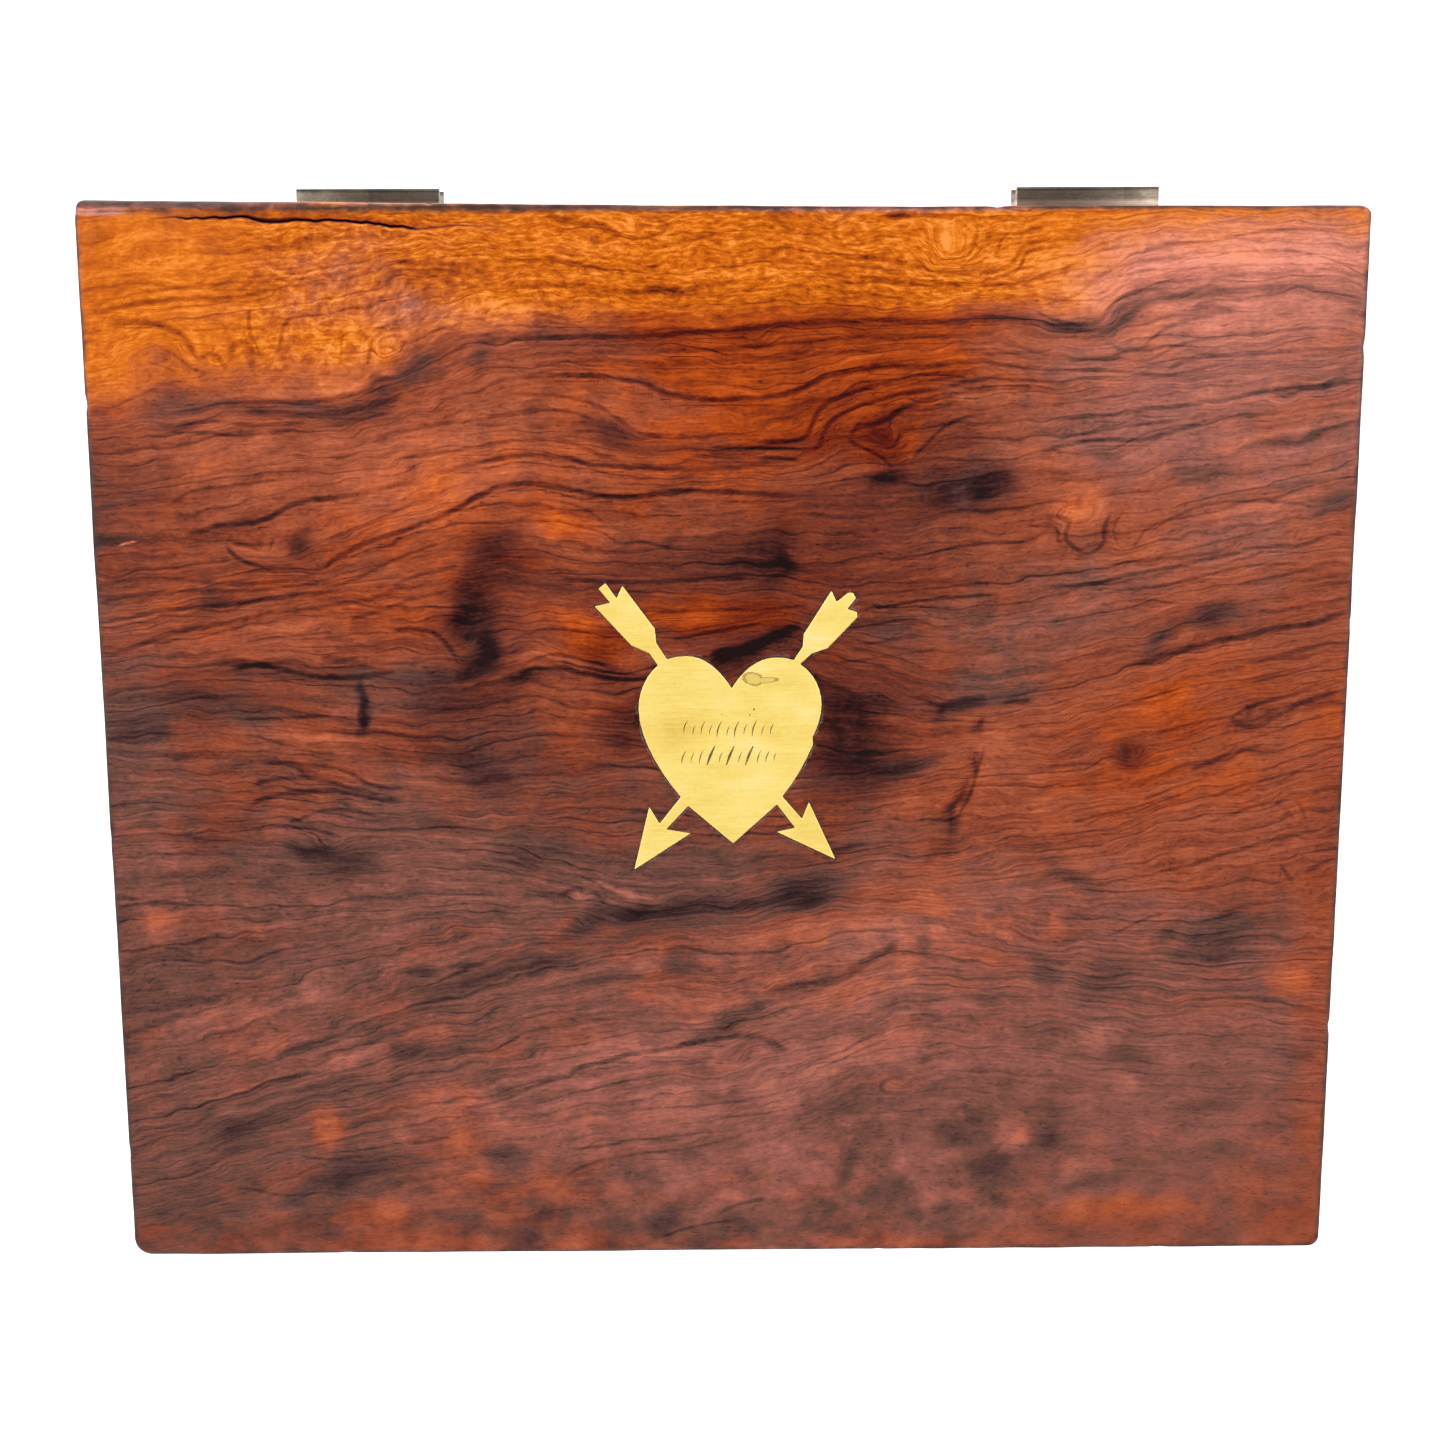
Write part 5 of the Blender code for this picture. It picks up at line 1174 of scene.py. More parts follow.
@contextmanager
def editing(obj):
    """Open a piece in edit mode with all of it selected, and close it at the end."""
    only(obj)
    bpy.ops.object.mode_set(mode="EDIT")
    bpy.ops.mesh.select_all(action="SELECT")
    yield
    bpy.ops.object.mode_set(mode="OBJECT")


def choose(obj, kind, test):
    """In edit mode, select just the vertices, edges or faces that pass a test."""
    bpy.ops.mesh.select_mode(type={"verts": "VERT", "edges": "EDGE", "faces": "FACE"}[kind])
    bpy.ops.mesh.select_all(action="DESELECT")
    bm = bmesh.from_edit_mesh(obj.data)
    for item in filter(test, getattr(bm, kind)):
        item.select_set(True)
    bm.select_flush_mode()
    bmesh.update_edit_mesh(obj.data)


def settle(obj):
    """Put a piece's place, turn and scale into its mesh."""
    only(obj)
    bpy.ops.object.transform_apply(location=True, rotation=True, scale=True)
    return obj


def apply_modifier(obj, kind, **settings):
    """Add a modifier and apply it."""
    only(obj)
    modifier = obj.modifiers.new(kind.title(), kind)
    for name, value in settings.items():
        setattr(modifier, name, value)
    bpy.ops.object.modifier_apply(modifier=modifier.name)


def cut(obj, cutter):
    """Cut a piece with a shape, and throw the shape away."""
    apply_modifier(obj, "BOOLEAN", operation="DIFFERENCE", object=cutter, solver="EXACT")
    bpy.data.objects.remove(cutter)
    return obj


def shade(obj, degrees=35):
    """Smooth shading with sharp edges kept."""
    only(obj)
    bpy.ops.object.shade_smooth_by_angle(angle=math.radians(degrees))


# %% Space the grid's rows and columns, in millimetres
EDGE_STEPS = (0.0, 0.12, 0.30, 0.55, 0.85, 1.2, 1.7, 2.4, 3.3, 4.3)
GRID_STEP = 1.4
CRACK_STEP = 0.55
# Points of the crack: distance from the left side, distance from the back edge, width
CRACK_LIP = (
    (16.5, 4.4, 0.08), (22.6, 3.9, 0.12), (29.3, 4.2, 0.3), (34.7, 4.0, 0.5), (38.8, 3.5, 0.55),
    (43.4, 4.9, 0.85), (46.8, 4.9, 0.8), (50.2, 4.4, 0.65), (56.3, 4.5, 0.55), (59.7, 4.3, 0.5),
    (65.0, 4.7, 0.5), (71.8, 5.3, 0.6), (77.8, 6.0, 0.45), (80.5, 5.9, 0.15), (88.0, 5.1, 0.12),
    (100.8, 5.5, 0.08),
)
CRACK_DEPTHS = ((16.5, 0.0), (22.6, 0.3), (29.3, 1.5), (50.0, 1.7), (74.0, 1.4), (80.5, 0.5), (100.8, 0.0))
# Rows of the crack, counted from its front lip towards the back edge
BEHIND_LIP = (1.1, 0.7, 0.42)
FRONT_OF_LIP = (0.3, 0.8, 1.6, 2.6, 3.7)
PLAIN_LIP = 4.9

half_x, half_y = HALF_WIDTH / MM, HALF_DEPTH / MM


def evenly(start, end, step):
    """Places from start to end, about a step apart, without the two ends."""
    count = max(2, round((end - start) / step))
    return [start + (end - start) * i / count for i in range(1, count)]


crack_start = CRACK_LIP[0][0] - half_x
crack_end = CRACK_LIP[-1][0] - half_x
inner_left, inner_right = EDGE_STEPS[-1] - half_x, half_x - EDGE_STEPS[-1]
columns = [step - half_x for step in EDGE_STEPS]
columns += evenly(inner_left, crack_start, GRID_STEP) + [crack_start]
columns += evenly(crack_start, crack_end, CRACK_STEP) + [crack_end]
columns += evenly(crack_end, inner_right, GRID_STEP)
columns += [half_x - step for step in reversed(EDGE_STEPS)]

crack_rows = [PLAIN_LIP - step for step in BEHIND_LIP] + [PLAIN_LIP - 0.2, PLAIN_LIP - 0.1, PLAIN_LIP]
crack_rows += [PLAIN_LIP + step for step in FRONT_OF_LIP]
back_steps = [step for step in EDGE_STEPS if step < crack_rows[0] - 0.3] + crack_rows
rows = [step - half_y for step in EDGE_STEPS]
rows += evenly(EDGE_STEPS[-1] - half_y, half_y - back_steps[-1], GRID_STEP)
rows += [half_y - step for step in reversed(back_steps)]
FRONT_LIP_ROW = len(rows) - 1 - back_steps.index(PLAIN_LIP)
CRACK_ROW = FRONT_LIP_ROW + 1
REAR_LIP_ROW = FRONT_LIP_ROW + 2
print("grid:", len(columns), "columns and", len(rows), "rows")

# %% Define the shape of the worn board
ARRIS_RADIUS = 1.15
ARRIS_CHANGE = 0.35
CORNER_RADII = {(-1, -1): 4.6, (1, -1): 3.0, (1, 1): 2.5, (-1, 1): 1.8}
BACK_FLARE = 2.2
FLARE_LENGTH = 190.0
FLARE_CURVE = 1.3
FLARE_FADE = 25.0
# Wear of the back edge, by side: reach, drop, length
BACK_WEAR = {-1: (4.8, 2.5, 105.0), 1: (1.6, 1.1, 60.0)}
WEAR_CURVE = 1.25
# Dents in the rim: x, y, reach, depth
DENTS = (
    (-68.3, 128.6, 0.6, 0.3), (-150.0, 84.0, 1.0, 0.4), (-150.0, -20.0, 2.0, 0.12), (150.0, 31.0, 1.4, 0.15),
    (150.0, -70.0, 1.4, 0.30), (-96.0, -128.5, 1.6, 0.12), (38.0, -128.5, 1.2, 0.12),
    (109.0, -128.5, 1.8, 0.12), (-150.0, -101.0, 1.2, 0.18), (63.0, 128.5, 1.3, 0.3),
    (150.0, 96.0, 1.6, 0.25),
)
RIM_WOBBLE = 0.10
SURFACE_DROP = 0.03
SURFACE_WAVE = 0.02
STRIP_SINK = 0.30


def crack_profile(x):
    """Where the crack's front lip lies from the back edge, its width and its depth, along the board."""
    from_left = x + half_x
    places, lips, widths = zip(*CRACK_LIP)
    lip = np.interp(from_left, places, lips, left=PLAIN_LIP, right=PLAIN_LIP)
    width = np.interp(from_left, places, widths, left=0.06, right=0.06)
    depth = np.interp(from_left, *zip(*CRACK_DEPTHS))
    level = 0 * from_left
    jags = 0.24 * ripple(from_left, level, 2.1, 3.5) + 0.2 * ripple(from_left, level, 1.1, 9.5)
    ragged = jags * np.clip(depth, 0, 1)
    return lip + ragged, width, depth


def round_corners(x, y):
    """Pull the square corners of the grid into arcs, ring by ring."""
    side_x, side_y = np.where(x < 0, -1, 1), np.where(y < 0, -1, 1)
    radius = np.vectorize(lambda a, b: CORNER_RADII[a, b])(side_x, side_y)
    to_x = radius - (half_x - np.abs(x))
    to_y = radius - (half_y - np.abs(y))
    corner = (to_x > 0) & (to_y > 0)
    pull = np.where(corner, np.maximum(to_x, to_y) / np.hypot(to_x, to_y).clip(1e-6), 1)
    new_x = side_x * (half_x - radius + to_x * pull)
    new_y = side_y * (half_y - radius + to_y * pull)
    return np.where(corner, new_x, x), np.where(corner, new_y, y)


def arris_drop(x, y, inward):
    """How far the rounded upper edge lies below the surface."""
    radius = ARRIS_RADIUS + ARRIS_CHANGE * ripple(x, y, 22, 0.5)
    rise = np.clip(radius - inward, 0, None)
    return radius - np.sqrt(np.clip(radius * radius - rise * rise, 0, None))


def back_wear_drop(x, from_back):
    """How far the worn back edge lies below the surface."""
    drop = np.zeros(x.shape)
    for side, (reach, deepest, length) in BACK_WEAR.items():
        share = np.clip(1 - (half_x - side * x) / length, 0, 1)
        slope = np.clip(1 - from_back / np.maximum(reach * share, 0.2), 0, 1)
        drop += deepest * share * slope ** WEAR_CURVE
    return drop


def back_flare(x, behind):
    """How far the wood near the back edge stands out towards the left corner."""
    share = np.clip((FLARE_LENGTH - (x + half_x)) / FLARE_LENGTH, 0, 1)
    return BACK_FLARE * share ** FLARE_CURVE * soft_step(1 - behind / FLARE_FADE)


def lid_surface(x, y, row):
    """Where each vertex of the grid goes, from its place in the plain grid."""
    inward = np.minimum(half_x - np.abs(x), half_y - np.abs(y))
    lip, width, depth = crack_profile(x)
    behind = half_y - y
    near_crack = soft_step((behind - 0.9) / 2.6) * soft_step((9.5 - behind) / 3.5)
    new_x, new_y = round_corners(x, y)
    new_y = new_y - near_crack * (lip - PLAIN_LIP)
    front_lip_y = half_y - lip
    new_y = np.where(row == REAR_LIP_ROW, front_lip_y + width, new_y)
    new_y = np.where(row == CRACK_ROW, front_lip_y + width / 2, new_y)

    opened = np.clip(depth, 0, 1)
    sink = STRIP_SINK * opened * soft_step((behind - 1.6) / 2.2) * (row >= REAR_LIP_ROW)
    z = -SURFACE_DROP - SURFACE_WAVE * (1 + ripple(x, y, 30, 4.5))
    z = z - sink - 0.05 * opened * (row == FRONT_LIP_ROW)
    z = np.where(row == CRACK_ROW, z - depth, z)
    z = z - arris_drop(new_x, new_y, inward)
    z = z - back_wear_drop(new_x, half_y - new_y)
    new_y = new_y + back_flare(new_x, behind)

    rim = soft_step(1 - inward / 2.5)
    squeeze = RIM_WOBBLE * (1 + ripple(x, y, 9, 6.5)) * rim
    for dent_x, dent_y, reach, dent in DENTS:
        bite = soft_step(1 - np.hypot(x - dent_x, y - dent_y) / (1.6 * reach))
        squeeze = squeeze + dent * bite
        z = z - 0.6 * dent * bite
    at_side = (half_x - np.abs(x)) < (half_y - np.abs(y))
    new_x = np.where(at_side, new_x - np.sign(x) * squeeze, new_x)
    new_y = np.where(at_side, new_y, new_y - np.sign(y) * squeeze)
    return new_x, new_y, z


# %% Shape the board
bpy.ops.object.select_all(action="DESELECT")
bpy.ops.mesh.primitive_grid_add(x_subdivisions=len(columns) - 1, y_subdivisions=len(rows) - 1, size=1)
top_board = bpy.context.object
top_board.name = "worn_top_board"

unit = vertex_places(top_board) + 0.5
column = np.rint(unit[:, 0] * (len(columns) - 1)).astype(int)
row = np.rint(unit[:, 1] * (len(rows) - 1)).astype(int)
x, y, z = lid_surface(np.array(columns)[column], np.array(rows)[row], row)
shaped = np.column_stack((x * MM, y * MM, z * MM + LID_TOP))
top_board.data.vertices.foreach_set("co", shaped.ravel())
top_board.data.update()

with editing(top_board):
    bpy.ops.mesh.region_to_loop()
    bpy.ops.mesh.extrude_region_move()
    bpy.ops.transform.resize(value=(1, 1, 0))
    under_edge = bmesh.from_edit_mesh(top_board.data)
    pulled = next(v.co.z for v in under_edge.verts if v.select)
    bpy.ops.transform.translate(value=(0, 0, LID_TOP - TOP_THICKNESS - pulled))
    bpy.ops.mesh.edge_face_add()
    bpy.ops.mesh.select_all(action="SELECT")
    bpy.ops.mesh.normals_make_consistent(inside=False)
print("top board:", len(top_board.data.vertices), "vertices")

# %% Cut the recess of the inlay
RECESS_GAP = 0.00006
SAME_PLACE = 0.000001
FLAT_ANGLE = 0.5


def merged_copy(node, name):
    """A copy of a frame piece with its loose triangles joined and its flat faces made whole."""
    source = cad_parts[node]
    obj = bpy.data.objects.new(name, source.data.copy())
    bpy.context.scene.collection.objects.link(obj)
    obj.data.materials.clear()
    with editing(obj):
        bpy.ops.mesh.remove_doubles(threshold=SAME_PLACE)
        bpy.ops.mesh.dissolve_limited(angle_limit=math.radians(FLAT_ANGLE))
        bpy.ops.mesh.select_all(action="DESELECT")
    return obj


recess = merged_copy("heart_and_arrows_inlay", "recess")
with editing(recess):
    bpy.ops.transform.shrink_fatten(value=RECESS_GAP, use_even_offset=True)
cut(top_board, recess)
shade(top_board, 40)
paint_figure(top_board)


# %% Paint the wear, and the shade and highlights of the crack and the back edge
def stripe(away, half_width):
    """1 on a line, fading to 0 at this distance from it."""
    return soft_step(1 - np.abs(away) / half_width)


def paint_wear_shade_and_highlights(obj, inlay):
    """Paint shade into the crack, behind it, on the rolled back left corner and along the back edge, paint
    highlights on that corner and the back rim, pale the lips and darken the joint round the inlay.
    """
    places = vertex_places(obj)
    x, y = places[:, :2].T / MM
    lip, width, depth = crack_profile(x)
    opened = np.clip(depth, 0, 1)
    ahead = half_y - lip + back_flare(x, lip) - y
    # Painted shade in the crack, with some dirt, and a painted shadow on the strip behind it
    dark = soft_step(1.4 - np.abs(ahead + width / 2) / (width / 2 + 0.12)) * opened
    shade_behind = stripe(ahead + width + 0.6, 0.9) * opened
    patches = np.clip(0.5 + 2 * ripple(x, 0 * x, 2.4, 8.5), 0, 1)
    # The pale lip is partly wear and partly a painted glint
    pale = stripe(ahead - 0.35, 0.4) * opened * patches
    from_back = half_y + back_flare(x, 0 * x) - y
    # Painted light at the back edge: shade on the rolled left corner, darkened also by worn polish, a
    # highlight in front of that shade, a highlight along the back rim and shade along the right of the edge
    strip = soft_step(1.4 - from_back / 1.7) * soft_step((-88 - x) / 34)
    corner_highlight = stripe(from_back - 2.9, 1.1) * soft_step((-136 - x) / 8)
    rim = stripe(from_back - 0.9, 0.8) * soft_step((x + 95) / 20) * soft_step((90 - x) / 30)
    back_edge_shade = soft_step(1.3 - from_back / 0.8) * soft_step((x - 50) / 40)
    surface = BVHTree.FromObject(inlay, bpy.context.evaluated_depsgraph_get())
    gap = np.array([surface.find_nearest(Vector(point))[3] for point in places]) / MM
    joint = soft_step(1 - (gap - RECESS_GAP / MM) / 0.9)
    # Both sums are painted shade and painted highlights, with wear at the lips and the dark glue of the joint
    darker = 0.5 * dark + 0.12 * shade_behind + 0.24 * strip + 0.06 * joint + 0.2 * back_edge_shade
    paler = 0.14 * pale + 0.42 * corner_highlight + 0.08 * rim
    changes = {"Tone": paler - darker, "Warmth": -2.4 * strip - 2.8 * corner_highlight - 1.2 * rim}
    for name, change in changes.items():
        values = np.zeros(len(x))
        obj.data.attributes[name].data.foreach_get("value", values)
        obj.data.attributes[name].data.foreach_set("value", values + change)


paint_wear_shade_and_highlights(top_board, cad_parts["heart_and_arrows_inlay"])
top_board.data.materials.append(lid_wood)
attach(top_board, "lid")
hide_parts("lid_top_board")
print("top board:", len(top_board.data.vertices), "vertices after the cut")

# %% [markdown]
# ## The boards of the case and the lid
#
# Four boards meet in mitres at each corner, and a mitre only closes well when all four are cut from one
# profile. So the walls are made the way a box maker often does it: as one closed tube, rounded at its
# corners and softened at its rims, which is then sawn apart. Here the saw is a bisect at 45 degrees.
# Weighted normals keep the large faces flat in the light, so that only the rims look round.

# %% Define the tube of walls and the mitre cuts
CORNER_SEGMENTS = 10
RIM_RADIUS = 0.0007
RIM_SEGMENTS = 4
NEAR = 0.1 * MM
SIDES = {"front": 0, "right": 1, "back": 2, "left": 3}


def cut_block(obj, low, high):
    """Cut a block between two corners out of a piece."""
    bpy.ops.object.select_all(action="DESELECT")
    bpy.ops.mesh.primitive_cube_add(size=1, location=(low + high) / 2, scale=high - low)
    return cut(obj, settle(bpy.context.object))


def make_tube(name, bottom, top, soft_top):
    """A closed ring of walls with rounded corners and softened outer rims, the upper one if asked."""
    size = (2 * HALF_WIDTH, 2 * HALF_DEPTH, top - bottom)
    bpy.ops.object.select_all(action="DESELECT")
    bpy.ops.mesh.primitive_cube_add(size=1, location=(0, 0, (bottom + top) / 2), scale=size)
    tube = settle(bpy.context.object)
    tube.name = name
    with editing(tube):
        for (side_x, side_y), radius in CORNER_RADII.items():
            corner = Vector((side_x * HALF_WIDTH, side_y * HALF_DEPTH))
            choose(tube, "edges", lambda e: all((v.co.to_2d() - corner).length < NEAR for v in e.verts))
            bpy.ops.mesh.bevel(offset=radius * MM, segments=CORNER_SEGMENTS, affect="EDGES")
        levels = [top, bottom] if soft_top else [bottom]
        choose(tube, "edges", lambda e: any(all(abs(v.co.z - z) < NEAR for v in e.verts) for z in levels))
        bpy.ops.mesh.bevel(offset=RIM_RADIUS, segments=RIM_SEGMENTS, affect="EDGES")

    inner = Vector((HALF_WIDTH - WALL, HALF_DEPTH - WALL, 0))
    return cut_block(tube, -inner + Vector((0, 0, bottom - WALL)), inner + Vector((0, 0, top + WALL)))


def saw_board(tube, name, side):
    """One board of a tube, cut off by a mitre at each end."""
    board = tube.copy()
    board.data = tube.data.copy()
    board.name = name
    bpy.context.scene.collection.objects.link(board)
    facing = math.radians(90 * side - 90)
    with editing(board):
        for end in (-1, 1):
            turn = facing + end * math.radians(45)
            side_x, side_y = math.copysign(1, math.cos(turn)), math.copysign(1, math.sin(turn))
            corner = Vector((side_x * HALF_WIDTH, side_y * HALF_DEPTH, 0))
            away = facing + end * math.radians(135)
            outward = Vector((math.cos(away), math.sin(away), 0))
            on_plane = corner - outward * JOINT_GAP / 2
            bpy.ops.mesh.select_all(action="SELECT")
            bpy.ops.mesh.bisect(plane_co=on_plane, plane_no=outward, clear_outer=True, use_fill=True)
    return board


# %% Cut the beds of the base board and of the hinges
LEAF_THICKNESS = 0.0016
SCREW_CLEARANCE = 0.00015


def cut_base_rebate(tube):
    """Cut the step in the foot of the case that the base board is let up into."""
    low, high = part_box("base_board")
    margin = Vector((JOINT_GAP, JOINT_GAP, JOINT_GAP))
    cut_block(tube, low - margin - Vector((0, 0, WALL)), high + margin)


def cut_hinge_beds(board, prefix):
    """Cut a shallow bed for each leaf in a back board's rim, and a hole for each screw."""
    for hand in ("left", "right"):
        low, high = (corner.copy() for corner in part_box(f"{hand}_hinge_{prefix}_leaf"))
        deep = LEAF_THICKNESS + 1.5 * JOINT_GAP
        rim = case_high.z if prefix == "case" else rail_low.z
        low.z, high.z = (rim - deep, rim + WALL) if prefix == "case" else (rim - WALL, rim + deep)
        side_gap = Vector((JOINT_GAP, JOINT_GAP, 0))
        cut_block(board, low - side_gap, high + side_gap)
        for number in (1, 2, 3):
            hole = merged_copy(f"{hand}_hinge_{prefix}_screw_{number}", "screw_hole")
            with editing(hole):
                bpy.ops.transform.shrink_fatten(value=SCREW_CLEARANCE)
            cut(board, hole)


# %% Saw the boards
def make_boards(prefix, label, body, soft_top):
    """The four boards of one body, each in place of its frame node."""
    low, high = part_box(f"{prefix}_front_{label}")
    tube = make_tube(f"{prefix}_tube", low.z, high.z, soft_top)
    if prefix == "case":
        cut_base_rebate(tube)
    for word, side in SIDES.items():
        node = f"{prefix}_{word}_{label}"
        board = saw_board(tube, f"{prefix}_{word}_{label}_polished", side)
        if word == "back":
            cut_hinge_beds(board, prefix)
        shade(board)
        apply_modifier(board, "WEIGHTED_NORMAL", keep_sharp=True)
        board.data.materials.clear()
        board.data.materials.append(front_wood if word in ("front", "back") else side_wood)
        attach(board, body)
        print(board.name, len(board.data.polygons), "faces")
        yield board, node
    bpy.data.objects.remove(tube)


for prefix, label, body, soft_top in (("case", "board", "case", True), ("lid", "rail", "lid", False)):
    for board, node in make_boards(prefix, label, body, soft_top):
        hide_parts(node)

# %% [markdown]
# ## The base board
#
# Nobody sees the underside, so it was never polished. It is plain pale wood, planed and a little dirty,
# with straight grain along its length. Its inner face shows when the lid is open.

# %% Finish the base board
PLAIN_WOOD = (
    (0.20, (0.120, 0.052, 0.026)), (0.40, (0.235, 0.115, 0.058)), (0.60, (0.330, 0.175, 0.092)),
    (0.80, (0.43, 0.25, 0.14)),
)
base_wood, wiring, shader = new_material("planed wood of the base")
place = object_place(wiring)
x, y, z = wiring.split(place)
wander = wiring.noise(wiring.cells((x, 180), (y, 60)), 2.0)
across = wiring.math("MULTIPLY_ADD", wander, 30.0, y)
band = wiring.noise(wiring.cells((x, 220), (across, 4.5)), 4.0, 0.6)
fibre = wiring.noise(wiring.cells((x, 12), (across, 0.5), (z, 2)), 2.0, 0.6)
stain = wiring.noise(wiring.cells((x, 60), (y, 45)), 3.0, 0.6)
tone = wiring.total(
    wiring.scaled(band, 0.55, 0.5), wiring.scaled(fibre, 0.35), wiring.spread(stain, 0.05, 0.3, 0.0, -0.22),
)
wiring.join(wiring.ramp(tone, PLAIN_WOOD), shader["Base Color"])
wiring.join(wiring.scaled(fibre, 0.12, 0.68), shader["Roughness"])
wiring.join(wiring.bump(fibre, 0.4, 0.0001), shader["Normal"])


def dress(node, material):
    """Give a frame piece a better material."""
    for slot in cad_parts[node].material_slots:
        slot.material = material


dress("base_board", base_wood)
print("base wood:", len(base_wood.node_tree.nodes), "nodes")

# %% [markdown]
# ## The heart and arrows
#
# The inlay is sheet brass, sawn to a heart with two crossed arrows behind it, glued into its recess and
# scraped flush. Its edges are softened a little, and rubbing has left fine scratches along X. Two rows of
# small curved strokes are cut into its middle. They are sliver-shaped, as a graver cuts them: each is a
# thin tube that thickens towards its middle, sunk into the face and cut out.

# %% Model the inlay and cut its rows of strokes
INLAY_EDGE = 0.00025
STROKE_SINK = 0.32
# Strokes: start, middle and end as x, y in millimetres from the lid's centre, and half width
UPPER_ROW = (
    ((-9.4, 8.2), (-10.2, 6.6), (-10.4, 5.0), 0.17), ((-7.4, 7.2), (-8.0, 5.9), (-8.2, 4.6), 0.14),
    ((-5.2, 8.0), (-6.0, 6.3), (-6.2, 4.6), 0.16), ((-3.3, 7.4), (-4.0, 5.9), (-4.2, 4.4), 0.14),
    ((-1.2, 8.0), (-2.1, 6.0), (-2.4, 3.8), 0.20), ((0.8, 7.0), (0.2, 5.6), (0.0, 4.2), 0.14),
    ((3.0, 8.0), (2.1, 6.0), (1.8, 3.8), 0.20), ((5.0, 7.4), (4.3, 5.8), (4.1, 4.4), 0.15),
    ((7.3, 8.2), (6.4, 6.2), (6.1, 4.0), 0.20), ((9.2, 7.0), (8.6, 5.6), (8.4, 4.4), 0.14),
    ((11.4, 7.4), (10.7, 6.0), (10.5, 4.6), 0.16),
)
LOWER_ROW = (
    ((-9.8, 0.8), (-10.7, -1.0), (-11.0, -2.8), 0.18), ((-7.8, 0.4), (-8.5, -1.0), (-8.7, -2.4), 0.14),
    ((-5.6, 1.0), (-6.4, -0.8), (-6.7, -2.6), 0.17), ((-2.9, 1.8), (-4.0, -0.6), (-4.8, -2.9), 0.38),
    ((-0.9, 0.6), (-1.6, -0.9), (-1.9, -2.4), 0.15), ((1.8, 1.8), (0.7, -0.6), (-0.1, -2.9), 0.38),
    ((3.8, 0.6), (3.1, -0.9), (2.8, -2.4), 0.15), ((6.4, 1.8), (5.3, -0.6), (4.5, -2.9), 0.36),
    ((8.3, 0.8), (7.6, -0.9), (7.3, -2.6), 0.16), ((10.3, 0.6), (9.6, -0.9), (9.4, -2.2), 0.18),
    ((12.0, 0.2), (11.5, -1.0), (11.4, -2.2), 0.14),
)
DOTS = ((6.6, 10.8, 0.26), (5.6, 9.4, 0.2), (-1.1, 9.6, 0.16))
STROKE_END = 0.5


def add_stroke(start, middle, end, half_width):
    """A thin tube through three points in the face of the inlay, thick in its middle and thin at its ends."""
    bpy.ops.object.select_all(action="DESELECT")
    bpy.ops.curve.primitive_bezier_curve_add()
    stroke = bpy.context.object
    curve = stroke.data
    curve.dimensions = "3D"
    curve.splines[0].bezier_points.add(1)
    level = LID_TOP + STROKE_SINK * half_width * MM
    for point, (x, y), share in zip(curve.splines[0].bezier_points, (start, middle, end), (0, 1, 0)):
        point.co = (x * MM, y * MM, level)
        point.handle_left_type = "AUTO"
        point.handle_right_type = "AUTO"
        point.radius = STROKE_END + (1 - STROKE_END) * share
    stroke.location = (0, 0, 0)
    curve.resolution_u = 5
    curve.bevel_depth = half_width * MM
    curve.bevel_resolution = 2
    curve.use_fill_caps = True
    bpy.ops.object.convert(target="MESH")
    with editing(stroke):
        bpy.ops.mesh.remove_doubles(threshold=SAME_PLACE)
        bpy.ops.mesh.normals_make_consistent(inside=False)
    return stroke


def add_dot(x, y, radius):
    """A small ball that dents the face of the inlay."""
    place = (x * MM, y * MM, LID_TOP + STROKE_SINK * radius * MM)
    bpy.ops.object.select_all(action="DESELECT")
    bpy.ops.mesh.primitive_ico_sphere_add(subdivisions=2, radius=radius * MM, location=place)
    return settle(bpy.context.object)


def soften(obj, width):
    """Bevel the sharp edges of a piece."""
    sharp = math.radians(40)
    apply_modifier(obj, "BEVEL", width=width, segments=2, limit_method="ANGLE", angle_limit=sharp)


inlay = merged_copy("heart_and_arrows_inlay", "engraved_heart_and_arrows")
soften(inlay, INLAY_EDGE)
for stroke in UPPER_ROW + LOWER_ROW:
    cut(inlay, add_stroke(*stroke))
for dot in DOTS:
    cut(inlay, add_dot(*dot))
shade(inlay, 10)
print("inlay:", len(inlay.data.polygons), "faces")

# %% Make the pale brass
PALE_BRASS = (
    (0.0, (0.80, 0.53, 0.09)), (0.35, (0.94, 0.67, 0.15)), (0.6, (0.99, 0.75, 0.20)),
    (1.0, (1.0, 0.84, 0.38)),
)
STAIN_COLOUR = (0.46, 0.29, 0.06, 1)
ENGRAVED_DIRT = (0.06, 0.035, 0.015, 1)
# Ovals on the face: x, y, turn in degrees, reach along and across. The stain is a drop with a tail
STAIN = ((6.4, 18.2, -14.0, 2.6, 1.6), (9.6, 17.9, 3.0, 2.9, 0.75))
GOLDEN_PATCH = (-11, 6, 0, 13, 11)
ENGRAVED_PART = (0.5, 3.5, 0, 15, 10)
THROUGH = 1000


def from_oval(wiring, place, oval):
    """How far a point is from an oval's centre, where its rim is at 1. The oval runs through the plate."""
    centre_x, centre_y, turn, along, across = oval
    inputs = {
        0: place, "Location": (centre_x, centre_y, 0), "Rotation": (0, 0, math.radians(turn)),
        "Scale": (along, across, THROUGH),
    }
    in_oval = wiring.add("Mapping", inputs, vector_type="TEXTURE")
    return wiring.add("VectorMath", {0: in_oval}, out=1, operation="LENGTH")


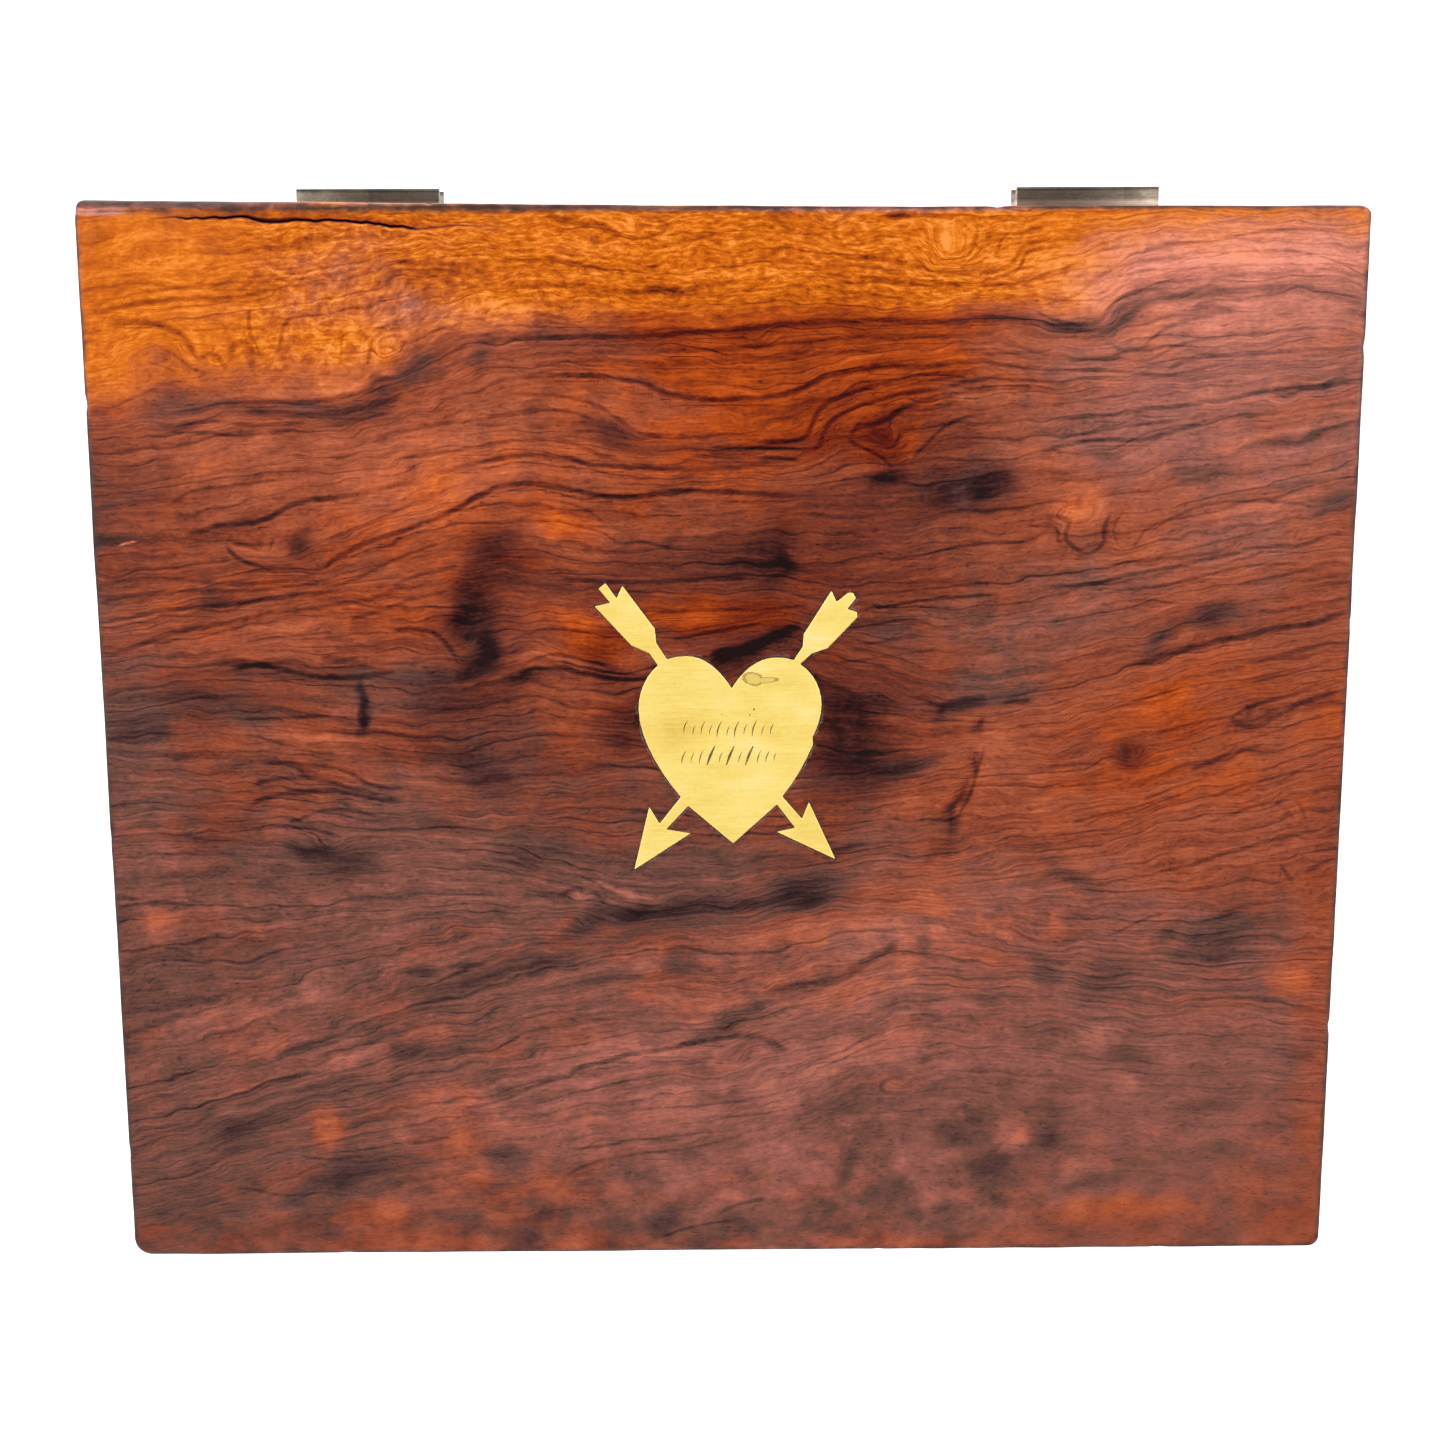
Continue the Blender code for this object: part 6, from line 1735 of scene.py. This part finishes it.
brass, wiring, shader = new_material("pale brass of the inlay")
place = object_place(wiring)
x, y, z = wiring.split(place)
brushed = wiring.noise(wiring.cells((x, 9), (y, 0.16), (z, 5)), 3.0, 0.6)
cloudy = wiring.noise(wiring.cells((x, 14), (y, 9), (z, 5)), 3.0, 0.6)
speckle = wiring.noise(wiring.cells((x, 0.8), (y, 0.8), (z, 5)), 2.0, 0.6)
golden = wiring.spread(from_oval(wiring, place, GOLDEN_PATCH), 1.0, 0.2, 0.0, -0.30)
tone = wiring.total(
    wiring.scaled(brushed, 1.0, 0.56), wiring.scaled(cloudy, 1.1), wiring.scaled(speckle, 0.35), golden,
)
colour = wiring.ramp(tone, PALE_BRASS)
from_stain = wiring.math("MINIMUM", *[from_oval(wiring, place, oval) for oval in STAIN])
stain_edge = wiring.total(from_stain, wiring.scaled(speckle, 0.5))
past_inner, within_outer = wiring.spread(stain_edge, 0.62, 0.86), wiring.spread(stain_edge, 1.1, 0.92)
stain_rim = wiring.math("MULTIPLY", past_inner, within_outer)
stained = wiring.math("MAXIMUM", stain_rim, wiring.spread(stain_edge, 1.0, 0.75, 0.0, 0.30))
colour = wiring.mix(wiring.scaled(stained, 0.9), colour, STAIN_COLOUR)
sunk = wiring.spread(z, LID_TOP / MM - 0.008, LID_TOP / MM - 0.035)
in_rows = wiring.spread(from_oval(wiring, place, ENGRAVED_PART), 1.0, 0.95)
sunk = wiring.math("MULTIPLY", sunk, in_rows)
colour = wiring.mix(wiring.scaled(sunk, 0.9), colour, ENGRAVED_DIRT)
wiring.join(colour, shader["Base Color"])
roughness = wiring.total(wiring.scaled(brushed, 0.3, 0.46), wiring.scaled(sunk, 0.3))
wiring.join(roughness, shader["Roughness"])
wiring.join(wiring.scaled(sunk, -0.2, 0.2), shader["Metallic"])
wiring.join(wiring.bump(brushed, 0.35, 0.00003), shader["Normal"])
inlay.data.materials.append(brass)
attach(inlay, "lid")
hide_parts("heart_and_arrows_inlay")
print("brass:", len(brass.node_tree.nodes), "nodes")

# %% [markdown]
# ## The hinges
#
# The hinges are cast brass gone brown. Only the bars behind the box show when the lid is down. Their
# arrises were filed, so each leaf gets a small bevel. A painted highlight lies pale along the wood, and
# painted shade darkens the outer edge of the bars.

# %% Make the tarnished brass and the steel
TARNISH = (
    (0.15, (0.042, 0.034, 0.026)), (0.35, (0.110, 0.090, 0.066)), (0.55, (0.240, 0.195, 0.145)),
    (0.75, (0.44, 0.36, 0.28)), (0.95, (0.64, 0.54, 0.43)),
)
STEEL = ((0.1, (0.05, 0.040, 0.032)), (0.5, (0.20, 0.175, 0.15)), (0.9, (0.42, 0.39, 0.36)))


def make_old_metal(name, colours, grain_size):
    """A metal with brown tarnish in patches and fine pits, with a painted highlight near the wood
    and painted shade at the outer edge of the bars.
    """
    material, wiring, shader = new_material(name)
    place = object_place(wiring)
    patches = wiring.noise(wiring.shrink(place, grain_size), 4.0, 0.65)
    pits = wiring.noise(wiring.shrink(place, 0.5), 3.0, 0.6)
    x, y, z = wiring.split(place)
    filed = wiring.noise(wiring.cells((x, 8), (y, 0.25), (z, 0.25)), 2.0, 0.6)
    # A painted highlight along the wood, and painted shade at the outer edge of the bars
    highlight_near_wood = wiring.spread(y, HALF_DEPTH / MM + 3.7, HALF_DEPTH / MM + 2.7, 0.0, 0.40)
    shade_at_outer_edge = wiring.spread(y, HALF_DEPTH / MM + 5.2, HALF_DEPTH / MM + 6.0, 0.0, -0.26)
    tone = wiring.total(
        wiring.scaled(patches, 0.75, 0.51), wiring.scaled(pits, 0.20), wiring.scaled(filed, 0.26), highlight_near_wood,
        shade_at_outer_edge,
    )
    wiring.join(wiring.ramp(tone, colours), shader["Base Color"])
    wiring.join(wiring.scaled(patches, -0.3, 0.40), shader["Roughness"])
    wiring.join(wiring.scaled(tone, 0.6, 0.55), shader["Metallic"])
    wiring.join(wiring.bump(wiring.total(pits, filed), 0.25, 0.00005), shader["Normal"])
    return material


old_brass = make_old_metal("tarnished brass", TARNISH, 5.0)
old_steel = make_old_metal("old screw steel", STEEL, 3.0)

# %% Model the leaves, and dress the pins and screws
LEAF_EDGE = 0.00022
for hand in ("left", "right"):
    for body in ("case", "lid"):
        node = f"{hand}_hinge_{body}_leaf"
        leaf = merged_copy(node, f"{hand}_hinge_{body}_leaf_filed")
        soften(leaf, LEAF_EDGE)
        shade(leaf, 30)
        leaf.data.materials.append(old_brass)
        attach(leaf, body)
        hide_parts(node)
        print(leaf.name, len(leaf.data.polygons), "faces")
        for number in (1, 2, 3):
            dress(f"{hand}_hinge_{body}_screw_{number}", old_steel)
    dress(f"{hand}_hinge_pin", old_brass)

# %% [markdown]
# ## Finish
#
# The box as dressed is measured, and how far it reaches past the frame is printed, because the looks
# may not make the box any bigger.

# %% Write the sizes and finish
seen_low, seen_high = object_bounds()
grown = max(max(cad_low - seen_low), max(seen_high - cad_high))
print("the dressed box reaches", round(grown / MM, 3), "mm past the frame")
